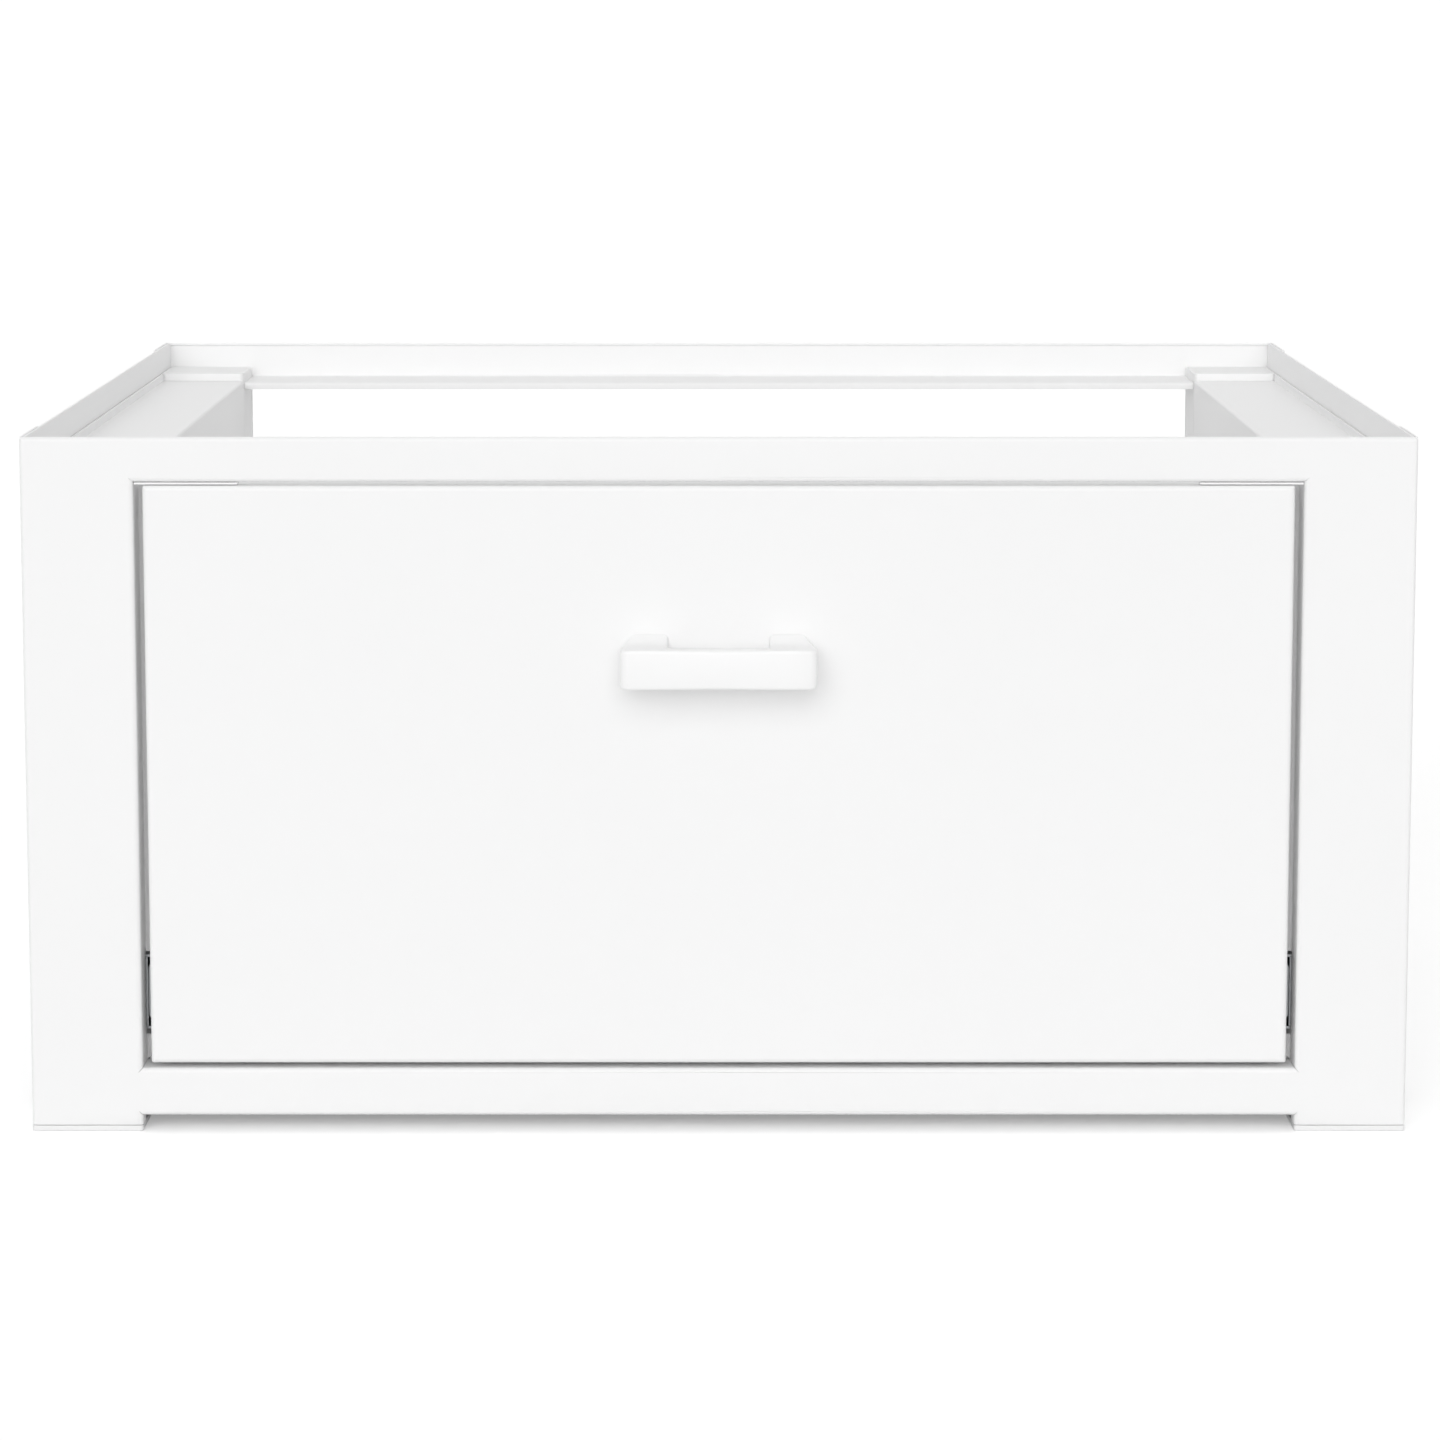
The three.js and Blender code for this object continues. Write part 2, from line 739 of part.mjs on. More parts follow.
const backScrew = screw(screwHead, screwHeadHeight, screwShank, backScrewLength);
backScrewHeights.forEach((rise, i) => {
  const place = i === 0 ? 'lower' : 'upper';
  const screwInPlace = aimed(backScrew, towardsMiddle, boxHalf + seam, backScrewY, boxFloor + rise);
  addPair(`back_${place}_screw`, screwInPlace, zincPlate);
});

// ---------------------------------------------------------------- handle

// A moulded bow: a bar on two posts, whose feet flare up where they meet the drawer front.
function bowHandle() {
  const end = handleWidth / 2 - handleEdge;
  const front = -handleReach + handleEdge;
  const barBack = -handleReach + handleBar - handleEdge;
  const back = -seam;
  const outer = handlePostOuter - handleEdge;
  const inner = handlePostInner + handleEdge;
  const barInner = inner - handleFillet;
  const plan = new THREE.Shape();
  plan.moveTo(outer, back);
  plan.quadraticCurveTo(end, barBack / 2, end, barBack);
  plan.lineTo(end, front + handleEdge);
  plan.quadraticCurveTo(end, front, end - handleEdge, front);
  plan.lineTo(-end + handleEdge, front);
  plan.quadraticCurveTo(-end, front, -end, front + handleEdge);
  plan.lineTo(-end, barBack);
  plan.quadraticCurveTo(-end, barBack / 2, -outer, back);
  plan.lineTo(-inner, back);
  plan.lineTo(-inner, barBack + handleFillet);
  plan.quadraticCurveTo(-inner, barBack, -barInner, barBack);
  plan.lineTo(barInner, barBack);
  plan.quadraticCurveTo(inner, barBack, inner, barBack + handleFillet);
  plan.lineTo(inner, back);
  const bow = new THREE.ExtrudeGeometry(plan, {
    depth: handleHeight - 2 * handleEdge,
    bevelThickness: handleEdge,
    bevelSize: handleEdge,
    bevelSegments: 2,
    curveSegments: 4,
  });
  bow.translate(0, 0, handleBottom + handleEdge);
  const flareFront = back - handleFlareDepth;
  const flare = new THREE.Shape();
  flare.moveTo(back, handleTop + handleFlare);
  flare.quadraticCurveTo(back - handleFlareDepth / 4, handleTop, flareFront, handleTop - handleEdge / 4);
  flare.lineTo(flareFront, handleTop - handleFlare);
  flare.lineTo(back, handleTop - handleFlare);
  const foot = extrudedAcross(flare, handlePostInner, handlePostOuter);
  const behind = block(-width, width, back, panDepth, 0, height);
  const holeEnd = -handleScrewLength - holeClearance;
  const holes = [-handleScrewX, handleScrewX].map((x) => {
    return rod([x, panDepth, handleScrewZ], [x, holeEnd, handleScrewZ], screwHole);
  });
  return cut(join(bow, foot, mirrored(foot)), behind, ...holes);
}

add('handle', bowHandle(), whitePlastic());

const handleScrew = screw(screwHead, screwHeadHeight, screwShank, handleScrewLength);
const handleScrewSeat = drawerSheet + seam;
addPair(
  'handle_screw',
  aimed(handleScrew, towardsFront, handleScrewX, handleScrewSeat, handleScrewZ),
  zincPlate,
);

// ---------------------------------------------------------------- slides

// Section of a slide piece: a web with two flanges, each with a lip. Distances are from the wall towards
// the drawer, and heights from the middle of the slide.
function channel(web, reach, halfHeight, lip, thickness) {
  const corners = [
    [reach, -halfHeight + lip],
    [reach, -halfHeight],
    [web, -halfHeight],
    [web, halfHeight],
    [reach, halfHeight],
    [reach, halfHeight - lip],
  ].map(([fromWall, rise]) => [slideWall - fromWall, slideMiddle + rise]);
  const ordered = reach > web ? corners : corners.reverse();
  return bentSheet(lip > 0 ? ordered : ordered.slice(1, -1), thickness, slideBend);
}

function slideMember(web, reach, halfHeight, endStep) {
  const section = channel(web, reach, halfHeight, slideLip, slideSheet);
  return extrudedBack(section, slideStart + endStep, slideStart + slideLength - endStep);
}

function cabinetMember() {
  const inside = slideWall - slideSheet - past;
  const holes = rivetInsets.map((inset) => {
    const y = slideStart + inset;
    return rod([slideWall + past, y, slideMiddle], [inside, y, slideMiddle], screwHole);
  });
  return cut(slideMember(0, cabinetReach, cabinetHalfHeight, 0), ...holes);
}

addPair('slide_cabinet_member', cabinetMember(), zincPlate);

const rivetSeat = wallHalf + sheet + seam;
const rivet = screw(screwHead, rivetHeadHeight, screwShank, rivetSeat - slideWall + slideSheet);
rivetInsets.forEach((inset, i) => {
  const place = i === 0 ? 'front' : 'rear';
  const rivetInPlace = aimed(rivet, towardsMiddle, rivetSeat, slideStart + inset, slideMiddle);
  addPair(`slide_${place}_rivet`, rivetInPlace, zincPlate);
});

const middleMember = slideMember(middleWeb, middleReach, middleHalfHeight, slideEndStep);
addPair('slide_middle_member', middleMember, zincPlate);

// The drawer member's web carries the pin of the release lever.
const memberWeb = slideWall - slideThickness;
const leverY = slideStart + leverSetback;
const leverBack = memberWeb + slideSheet + seam;
const leverFace = leverBack + leverThickness;

function drawerMember() {
  const member = slideMember(slideThickness, memberReach, memberHalfHeight, 2 * slideEndStep);
  const pin = rod(
    [memberWeb + slideSheet / 2, leverY, slideMiddle],
    [leverFace + seam, leverY, slideMiddle],
    leverPin,
  );
  const inside = memberWeb + slideSheet + past;
  const holes = slideScrewInsets.map((inset) => {
    const y = slideStart + inset;
    return rod([memberWeb - past, y, slideMiddle], [inside, y, slideMiddle], screwHole);
  });
  return cut(join(member, pin), ...holes);
}

addPair('slide_drawer_member', drawerMember(), zincPlate);

const slideScrewLength = drawerSheet + slideSheet + 4 * seam;
const slideScrew = screw(screwHead, screwHeadHeight, screwShank, slideScrewLength);
slideScrewInsets.forEach((inset, i) => {
  const place = i === 0 ? 'front' : 'rear';
  const screwInPlace = aimed(slideScrew, outwards, insideHalf, slideStart + inset, slideMiddle);
  addPair(`slide_${place}_screw`, screwInPlace, zincPlate);
});

// ---------------------------------------------------------------- ball cages and release levers

// A thin channel between two members, with a row of balls in each of its flanges.
function ballCage(web, ballReach, ballHeight) {
  const start = slideStart + cageSetback;
  const outline = ballHeight + cageSheet / 2;
  const section = channel(web, ballReach + ballDiameter / 2 + cageRim / 2, outline, 0, cageSheet);
  const pitch = (cageLength - 2 * cageRim - ballDiameter) / (ballsPerRow - 1);
  const balls = [];
  for (let i = 0; i < ballsPerRow; i += 1) {
    for (const side of [-1, 1]) {
      const ball = new THREE.SphereGeometry(ballDiameter / 2, ballSides, ballBands);
      ball.translate(
        slideWall - ballReach,
        start + cageRim + ballDiameter / 2 + i * pitch,
        slideMiddle + side * ballHeight,
      );
      balls.push(ball);
    }
  }
  return join(extrudedBack(section, start, start + cageLength), ...balls);
}

const cageInset = (cageGap - cageSheet) / 2;
const outerBallReach = (middleWeb + slideSheet + cabinetReach - slideSheet) / 2;
const innerBallReach = (memberReach + middleReach - slideSheet) / 2;
const outerBallHeight = cabinetHalfHeight - slideSheet - track / 2;
const innerBallHeight = middleHalfHeight - slideSheet - track / 2;

addPair(
  'slide_outer_ball_cage',
  ballCage(slideSheet + cageInset, outerBallReach, outerBallHeight),
  ballSteel,
);
addPair(
  'slide_inner_ball_cage',
  ballCage(middleWeb + slideSheet + cageInset, innerBallReach, innerBallHeight),
  ballSteel,
);

// The lever lies in the drawer member's channel, from its pivot forwards.
function releaseLever() {
  const hub = leverHub / 2;
  const tip = leverTip / 2;
  const tipY = leverY - leverLength;
  const lean = Math.acos((hub - tip) / leverLength);
  const outline = new THREE.Shape();
  outline.absarc(leverY, slideMiddle, hub, -Math.PI + lean, Math.PI - lean, false);
  outline.absarc(tipY, slideMiddle, tip, Math.PI - lean, Math.PI + lean, false);
  const hole = new THREE.Path();
  hole.absarc(leverY, slideMiddle, leverPin / 2 + leverPinClearance, 0, 2 * Math.PI, true);
  outline.holes.push(hole);
  return extrudedAcross(outline, leverBack, leverFace);
}

addPair('slide_release_lever', releaseLever(), blackPlastic);

// ---------------------------------------------------------------- origin

pedestal.position.y = (handleReach - depth) / 2;

export default pedestal;
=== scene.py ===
# Washer pedestal with one drawer, in white powder-coated sheet steel, on a white studio floor.
# Metres, +Z up. The drawer faces -Y. The sections follow the pedestal as it is put together.

import math

import bmesh
import bpy
from mathutils import Matrix, Vector


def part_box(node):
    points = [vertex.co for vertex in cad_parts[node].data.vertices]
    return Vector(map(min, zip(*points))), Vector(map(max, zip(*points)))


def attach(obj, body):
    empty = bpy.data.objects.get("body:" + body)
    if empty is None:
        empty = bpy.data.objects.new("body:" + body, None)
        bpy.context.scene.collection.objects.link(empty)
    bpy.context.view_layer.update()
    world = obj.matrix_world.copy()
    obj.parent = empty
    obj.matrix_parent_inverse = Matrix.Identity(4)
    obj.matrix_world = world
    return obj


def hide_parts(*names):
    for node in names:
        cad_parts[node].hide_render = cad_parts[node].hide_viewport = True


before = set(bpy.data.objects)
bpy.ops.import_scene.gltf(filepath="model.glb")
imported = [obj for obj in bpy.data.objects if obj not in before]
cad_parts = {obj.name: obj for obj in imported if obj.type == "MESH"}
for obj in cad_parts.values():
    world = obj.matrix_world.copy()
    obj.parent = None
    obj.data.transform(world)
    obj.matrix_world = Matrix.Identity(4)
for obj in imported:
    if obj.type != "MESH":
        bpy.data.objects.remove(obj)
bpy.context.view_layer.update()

# ------------------------ front frame
# One sheet of 1.2 mm steel with the drawer's opening cut out of it. Its edges are folded back on a
# press brake, its two legs stand on the floor pads, its top corners are welded and ground round, and
# it is powder coated white after welding.

mm = 0.001
frame_sheet = 1.2 * mm
frame_fold_inside = 0.8 * mm
frame_fold_outside = frame_fold_inside + frame_sheet
fold_steps = 6                  # straight pieces in the arc of each fold
corner_relief = 0.06 * mm       # hairline left where two folds meet in a mitre
sheet_edge = 0.15 * mm          # raw edges are broken this much before coating
next_to_nothing = 1e-6

drawer_gap_side = 4 * mm
drawer_gap_top = 1.7 * mm
drawer_gap_bottom = 2.3 * mm
top_hem = 2.6 * mm
rail_flange = 20 * mm
stop_clearance = 0.3 * mm       # between the drawer front and the lip that it closes against
stop_lip = 5 * mm
slide_notch = 2 * mm            # the lip is cut away this far above and below the slides
top_return = 8 * mm
leg_return = 10 * mm

front_low, front_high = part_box("front_frame")
pan_low, pan_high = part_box("drawer_front")
slide_low, slide_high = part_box("right_slide_cabinet_member")
half_width = front_high.x
rim_z = front_high.z
leg_z = front_low.z
rail_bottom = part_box("left_side_panel")[0].z
opening_half = pan_high.x + drawer_gap_side
opening_top = pan_high.z + drawer_gap_top
opening_bottom = pan_low.z - drawer_gap_bottom
stop_depth = pan_high.y - pan_low.y + stop_clearance
notch_bottom = slide_low.z - slide_notch
notch_top = slide_high.z + slide_notch


def linear(hex_colour):
    """An sRGB hex colour as linear RGBA."""
    channels = [int(hex_colour[i:i + 2], 16) / 255 for i in (1, 3, 5)]
    return [c / 12.92 if c <= 0.04045 else ((c + 0.055) / 1.055) ** 2.4 for c in channels] + [1.0]


def new_material(name):
    material = bpy.data.materials.new(name)
    material.use_nodes = True
    material.node_tree.nodes.clear()
    return material, material.node_tree


def add_node(tree, kind, inputs=(), **settings):
    """Adds a node. inputs maps each socket to a value, or to the output of another node."""
    node = tree.nodes.new(kind)
    for name, value in settings.items():
        setattr(node, name, value)
    for key, value in dict(inputs).items():
        if isinstance(value, bpy.types.NodeSocket):
            tree.links.new(value, node.inputs[key])
        else:
            node.inputs[key].default_value = value
    return node


def powder_coated_steel():
    # Baked polyester powder on steel: a soft satin white skin with a faint orange peel. The peel's
    # real waves are about 1.2 mm long and 4 microns high, and they are drawn twice as high to show.
    peel_length = 1.2 * mm
    peel_height = 0.008 * mm
    batch_length = 180 * mm
    material, tree = new_material("powder_coated_steel")
    place = add_node(tree, "ShaderNodeTexCoord").outputs["Object"]
    peel = add_node(
        tree, "ShaderNodeTexNoise", {"Vector": place, "Scale": 1 / peel_length, "Detail": 2.0})
    drift = add_node(
        tree, "ShaderNodeTexNoise", {"Vector": place, "Scale": 1 / batch_length, "Detail": 1.0})
    colour = add_node(
        tree, "ShaderNodeMix", {0: drift.outputs["Fac"], 6: linear("#F5F5F5"), 7: linear("#F7F7F7")},
        data_type="RGBA",
    )
    gloss = add_node(
        tree, "ShaderNodeMapRange", {"Value": peel.outputs["Fac"], "To Min": 0.40, "To Max": 0.50})
    bump = add_node(
        tree, "ShaderNodeBump",
        {"Height": peel.outputs["Fac"], "Distance": peel_height, "Strength": 1.0},
    )
    shader = add_node(tree, "ShaderNodeBsdfPrincipled", {
        "Base Color": colour.outputs[2],
        "Roughness": gloss.outputs["Result"],
        "Normal": bump.outputs["Normal"],
        "IOR": 1.5,
        "Specular IOR Level": 0.4,
    })
    add_node(tree, "ShaderNodeOutputMaterial", {"Surface": shader.outputs["BSDF"]})
    return material


powder_coat = powder_coated_steel()


def fold_line(corners, thickness, inside_radius):
    """One face of a folded sheet in section: a line through the corners, with an arc at each fold.
    The metal lies to the left of the line, so a fold that turns left has the outside radius."""
    corners = [Vector(corner) for corner in corners]
    line = [corners[0]]
    for before, corner, after in zip(corners, corners[1:], corners[2:]):
        back = (before - corner).normalized()
        onward = (after - corner).normalized()
        if (back + onward).length < next_to_nothing:
            line.append(corner)
            continue
        half = back.angle(onward) / 2
        turns_left = back.cross(onward) < 0
        radius = inside_radius + thickness if turns_left else inside_radius
        centre = corner + (back + onward).normalized() * radius / math.sin(half)
        start = corner + back * radius / math.tan(half) - centre
        turn = (math.pi - 2 * half) * (1 if turns_left else -1)
        for step in range(fold_steps + 1):
            line.append(centre + Matrix.Rotation(turn * step / fold_steps, 2) @ start)
    line.append(corners[-1])
    return line


def strip(mesh, line, places, at, left_out=lambda point, place: False):
    """A strip of sheet: a section line drawn out through the places along the piece. at turns a
    point of the section and a place into a corner, and left_out says which cells are cut away."""
    rows = [[mesh.verts.new(at(point, place)) for place in places] for point in line]
    for j in range(len(line) - 1):
        for i in range(len(places) - 1):
            if left_out((line[j] + line[j + 1]) / 2, (places[i] + places[i + 1]) / 2):
                continue
            mesh.faces.new((rows[j][i], rows[j][i + 1], rows[j + 1][i + 1], rows[j + 1][i]))


def merge_corners(mesh):
    bmesh.ops.remove_doubles(mesh, verts=mesh.verts, dist=next_to_nothing)
    loose = [vert for vert in mesh.verts if not vert.link_faces]
    bmesh.ops.delete(mesh, geom=loose, context="VERTS")


def add_left_half(mesh):
    """Mirrors the right half of a symmetrical piece and joins the two along the middle."""
    copy = bmesh.ops.duplicate(mesh, geom=mesh.verts[:] + mesh.edges[:] + mesh.faces[:])["geom"]
    for vert in [part for part in copy if isinstance(part, bmesh.types.BMVert)]:
        vert.co.x = -vert.co.x
    faces = [part for part in copy if isinstance(part, bmesh.types.BMFace)]
    bmesh.ops.reverse_faces(mesh, faces=faces)
    merge_corners(mesh)


def face_outwards(mesh, outside):
    """Turns the faces so that the one furthest outside looks outside, and the others agree."""
    bmesh.ops.recalc_face_normals(mesh, faces=mesh.faces)
    outside = Vector(outside)
    furthest = max(mesh.faces, key=lambda face: face.calc_center_median().dot(outside))
    if furthest.normal.dot(outside) < 0:
        bmesh.ops.reverse_faces(mesh, faces=mesh.faces)


def place_piece(name, mesh, material, body, node):
    """Makes the object, and says what it rides on, its finish and the plain solid it stands for."""
    data = bpy.data.meshes.new(name)
    mesh.to_mesh(data)
    mesh.free()
    data.materials.append(material)
    for face in data.polygons:
        face.use_smooth = True
    piece = bpy.data.objects.new(name, data)
    bpy.context.scene.collection.objects.link(piece)
    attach(piece, body)
    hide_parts(node)
    return piece


def break_edges(piece, width, segments=2):
    """Rounds the sharp edges, and keeps the flat faces flat in the shading."""
    sharpest_left = 50
    bevel = piece.modifiers.new("broken_edges", "BEVEL")
    bevel.width = width
    bevel.segments = segments
    bevel.limit_method = "ANGLE"
    bevel.angle_limit = math.radians(sharpest_left)
    piece.modifiers.new("flat_faces", "WEIGHTED_NORMAL")


def sheet_piece(name, mesh, thickness, outside, material, body, node):
    """A piece of folded sheet from its outer face. The metal lies behind that face."""
    merge_corners(mesh)
    face_outwards(mesh, outside)
    piece = place_piece(name, mesh, material, body, node)
    solid = piece.modifiers.new("sheet", "SOLIDIFY")
    solid.thickness = thickness
    solid.offset = -1
    solid.use_even_offset = True
    break_edges(piece, sheet_edge)


def end_frame(face_y, inward, opening_side, side_return, jamb_return, ledge):
    """The right half of the front or rear frame, mirrored. Sections are drawn from the face at y = 0
    inwards. The folds round the opening meet in mitres, with a hairline left between them. Without a
    jamb return the stiles have raw inner edges, and the rails' folds end square."""
    fold = frame_fold_outside
    mesh = bmesh.new()
    xs = [0, opening_side + (fold if jamb_return else 0), half_width - fold]
    zs = [leg_z, rail_bottom + fold, opening_bottom - fold, opening_top + fold, rim_z - fold]
    mitres = {leg_z: 0, rail_bottom: 1, opening_bottom: -1, opening_top: 1}

    def upright(point, z):
        return point.x, face_y + inward * point.y, z

    def upright_mitred(point, z):
        return upright(point, z + mitres.get(z, 0) * (point.x - opening_side - corner_relief))

    def level(point, x):
        return x, face_y + inward * point.x, point.y

    def level_mitred(edge):
        def at(point, x):
            beyond = mitres[edge] * (point.y - edge) if jamb_return else 0
            return level(point, x + beyond - corner_relief if x else 0)
        return at

    def folded(corners):
        return fold_line(corners, frame_sheet, frame_fold_inside)

    strip(
        mesh, [Vector((x, 0)) for x in xs], zs, upright,
        lambda point, z: point.x < xs[1] and not (zs[1] < z < zs[2] or zs[3] < z),
    )
    side = folded([(xs[2], 0), (half_width, 0), (half_width, side_return)])[1:]
    strip(mesh, side, zs, upright)
    strip(mesh, side[-2:], [zs[4], rim_z], upright)
    if jamb_return:
        leg = folded([(opening_side, leg_return), (opening_side, 0), (xs[1], 0)])[:-1]
        strip(mesh, leg, [leg_z, rail_bottom], upright_mitred)
        jamb = folded([
            (opening_side - stop_lip, jamb_return),
            (opening_side, jamb_return),
            (opening_side, 0),
            (xs[1], 0),
        ])[:-1]
        strip(
            mesh, jamb, [opening_bottom, notch_bottom, notch_top, opening_top], upright_mitred,
            lambda point, z: notch_bottom < z < notch_top
            and point.x < opening_side - next_to_nothing,
        )
    strip(mesh, folded([(top_hem, rim_z), (0, rim_z), (0, zs[4])])[:-1], xs, level)
    rail = [0, opening_side]
    sill = [(rail_flange, opening_bottom), (0, opening_bottom), (0, zs[2])]
    underside = [(0, zs[1]), (0, rail_bottom), (rail_flange, rail_bottom)]
    strip(mesh, folded([(0, zs[3])] + ledge)[1:], rail, level_mitred(opening_top))
    strip(mesh, folded(sill)[:-1], rail, level_mitred(opening_bottom))
    strip(mesh, folded(underside)[1:], rail, level_mitred(rail_bottom))
    add_ground_corner(mesh, face_y, inward)
    merge_corners(mesh)
    add_left_half(mesh)
    return mesh


def add_ground_corner(mesh, face_y, inward):
    """The welded top corner, an eighth of a ball between the side fold and the top fold."""
    fold = frame_fold_outside
    centre = Vector((half_width - fold, face_y + inward * fold, rim_z - fold))
    turns = [math.pi / 2 * step / fold_steps for step in range(fold_steps + 1)]

    def at(rise, swing):
        return centre + fold * Vector((
            math.cos(rise) * math.sin(swing),
            -inward * math.cos(rise) * math.cos(swing),
            math.sin(rise),
        ))

    strip(mesh, turns, turns, at)


front_mesh = end_frame(
    front_low.y, 1, opening_half, front_high.y - front_low.y, stop_depth,
    [(0, opening_top), (top_return, opening_top)],
)
sheet_piece(
    "front_frame_sheet", front_mesh, frame_sheet, (0, -1, 0), powder_coat,
    "frame", "front_frame",
)

# ------------------------ rear frame
# A like blank at the back, left open, whose stiles end flush with the posts behind them. Its top rail
# folds into a wider ledge with a lip turned down.

rear_ledge = 42 * mm
rear_lip = 2.5 * mm
rear_low, rear_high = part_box("rear_frame")
rear_opening_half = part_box("right_rear_post")[0].x

rear_mesh = end_frame(
    rear_high.y, -1, rear_opening_half, rear_high.y - rear_low.y, 0,
    [(0, opening_top), (rear_ledge, opening_top), (rear_ledge, opening_top - rear_lip)],
)
sheet_piece(
    "rear_frame_sheet", rear_mesh, frame_sheet, (0, 1, 0), powder_coat,
    "frame", "rear_frame",
)

# ------------------------ side panels
# Plain sheets between the side folds of the two frames. Their raw top edges make the rim, and a
# flange folded in under them stiffens the lower edge.

both_sides = (("right", 1), ("left", -1))


def for_both_sides(make):
    """Makes a piece on the right, and its mirror image on the left."""
    for side, sign in both_sides:
        make(side, sign)


def mirrored_to(sign, mesh):
    if sign < 0:
        for vert in mesh.verts:
            vert.co.x = -vert.co.x
        bmesh.ops.reverse_faces(mesh, faces=mesh.faces)
    return mesh


panel_low, panel_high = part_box("right_side_panel")
shelf_low, shelf_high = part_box("right_side_shelf")


def side_panel(side, sign):
    mesh = bmesh.new()
    outer = panel_high.x
    fold_top = rail_bottom + frame_fold_outside
    section = fold_line(
        [(panel_low.x, rail_bottom), (outer, rail_bottom), (outer, rim_z)],
        frame_sheet, frame_fold_inside,
    )
    strip(
        mesh, section, [panel_low.y, shelf_low.y, shelf_high.y, panel_high.y],
        lambda point, y: (point.x, y, point.y),
        lambda point, y: point.y < fold_top and not shelf_low.y < y < shelf_high.y,
    )
    sheet_piece(
        f"{side}_side_panel_sheet", mirrored_to(sign, mesh), frame_sheet, (sign, 0, 0), powder_coat,
        "frame", f"{side}_side_panel",
    )


for_both_sides(side_panel)

# ------------------------ side shelves with inner walls
# A narrow shelf on each side for the machine's edge to sit over. It turns up a small flange against
# the side panel, and down into the wall that carries the slide. The wall's ends fold outwards to the
# posts, where two bolts hold each.

wall_flange = 12 * mm
end_flange = 15 * mm
end_flange_height = 210 * mm
end_flange_drop = 32 * mm
shelf_upstand = 4 * mm
shelf_fold_inside = 0.1 * mm    # tighter folds than the frames'
shelf_top = shelf_high.z - shelf_upstand


def side_shelf(side, sign):
    fold = frame_fold_outside
    wall, outer = shelf_low.x, shelf_high.x - frame_sheet
    fold_top = shelf_top - end_flange_drop
    fold_bottom = fold_top - end_flange_height
    mesh = bmesh.new()
    section = fold_line([
        (outer, shelf_high.z),
        (outer, shelf_top),
        (wall, shelf_top),
        (wall, fold_top),
        (wall, fold_bottom),
        (wall, shelf_low.z),
        (wall + wall_flange, shelf_low.z),
    ], frame_sheet, shelf_fold_inside)
    strip(
        mesh, section, [shelf_low.y, shelf_low.y + fold, shelf_high.y - fold, shelf_high.y],
        lambda point, y: (point.x, y, point.y),
        lambda point, y: fold_bottom < point.y < fold_top
        and not shelf_low.y + fold < y < shelf_high.y - fold,
    )
    for end, inward in ((shelf_low.y, 1), (shelf_high.y, -1)):
        end_fold = fold_line(
            [(wall, fold), (wall, 0), (wall + frame_sheet + end_flange, 0)],
            frame_sheet, frame_fold_inside,
        )[1:]
        strip(
            mesh, end_fold, [fold_bottom, fold_top],
            lambda point, z, end=end, inward=inward: (point.x, end + inward * point.y, z),
        )
    sheet_piece(
        f"{side}_side_shelf_sheet", mirrored_to(sign, mesh), frame_sheet, (-sign, 0, 0), powder_coat,
        "frame", f"{side}_side_shelf",
    )


for_both_sides(side_shelf)

# ------------------------ corner posts and gussets
# Square steel tube with a cap welded on and ground flush. The machine's feet stand on the caps. Two
# small plates are welded under the top rail's return, in the corners of the opening.

post_wall = 1.5 * mm
post_corner = 2.5 * mm
post_cap_edge = 0.5 * mm
gusset_edge = 0.2 * mm


def rounded_rectangle(low, high, radius, steps=5):
    """Corner points of a rounded rectangle, anticlockwise from its lower right corner."""
    points = []
    for centre_x, centre_y, start in (
        (high[0] - radius, low[1] + radius, -90),
        (high[0] - radius, high[1] - radius, 0),
        (low[0] + radius, high[1] - radius, 90),
        (low[0] + radius, low[1] + radius, 180),
    ):
        for step in range(steps + 1):
            angle = math.radians(start + 90 * step / steps)
            points.append((centre_x + radius * math.cos(angle), centre_y + radius * math.sin(angle)))
    return points


def stack(mesh, rings, close_first=True, close_last=True):
    """Skins a row of rings that have the same number of points."""
    loops = [[mesh.verts.new(point) for point in ring] for ring in rings]
    for lower, upper in zip(loops, loops[1:]):
        for i in range(len(lower)):
            k = (i + 1) % len(lower)
            mesh.faces.new((lower[i], lower[k], upper[k], upper[i]))
    if close_first:
        mesh.faces.new(loops[0][::-1])
    if close_last:
        mesh.faces.new(loops[-1])


def capped_box(low, high, corner, edge, reach, at):
    """An open box of sheet: a flat end with a rounded edge, and walls that run back from it. low and
    high are the corners of the end, and at turns a point of it and a distance back into a corner."""
    steps = 6
    sharpest = 0.2 * mm
    rings = []
    for step in range(steps + 1):
        angle = math.pi / 2 * step / steps
        inset = edge * (1 - math.sin(angle))
        back = edge * (1 - math.cos(angle))
        outline = rounded_rectangle(
            (low[0] + inset, low[1] + inset), (high[0] - inset, high[1] - inset),
            max(corner - inset, sharpest))
        rings.append([at(u, v, back) for u, v in outline])
    rings.append([at(u, v, reach) for u, v in outline])
    mesh = bmesh.new()
    stack(mesh, rings, close_last=False)
    return mesh


def corner_post(node):
    low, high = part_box(node)
    mesh = capped_box(
        low.xy, high.xy, post_corner, post_cap_edge, high.z - low.z,
        lambda x, y, down: (x, y, high.z - down),
    )
    sheet_piece(
        f"{node}_tube", mesh, post_wall, (0, 0, 1), powder_coat,
        "frame", node,
    )


def plate(name, low, high, edge, material, body, slot, node):
    """A flat plate or block between two corners, with broken edges."""
    mesh = bmesh.new()
    bmesh.ops.create_cube(mesh, size=1)
    for vert in mesh.verts:
        vert.co = [high[k] if vert.co[k] > 0 else low[k] for k in range(3)]
    piece = place_piece(name, mesh, material, body, node)
    break_edges(piece, edge)


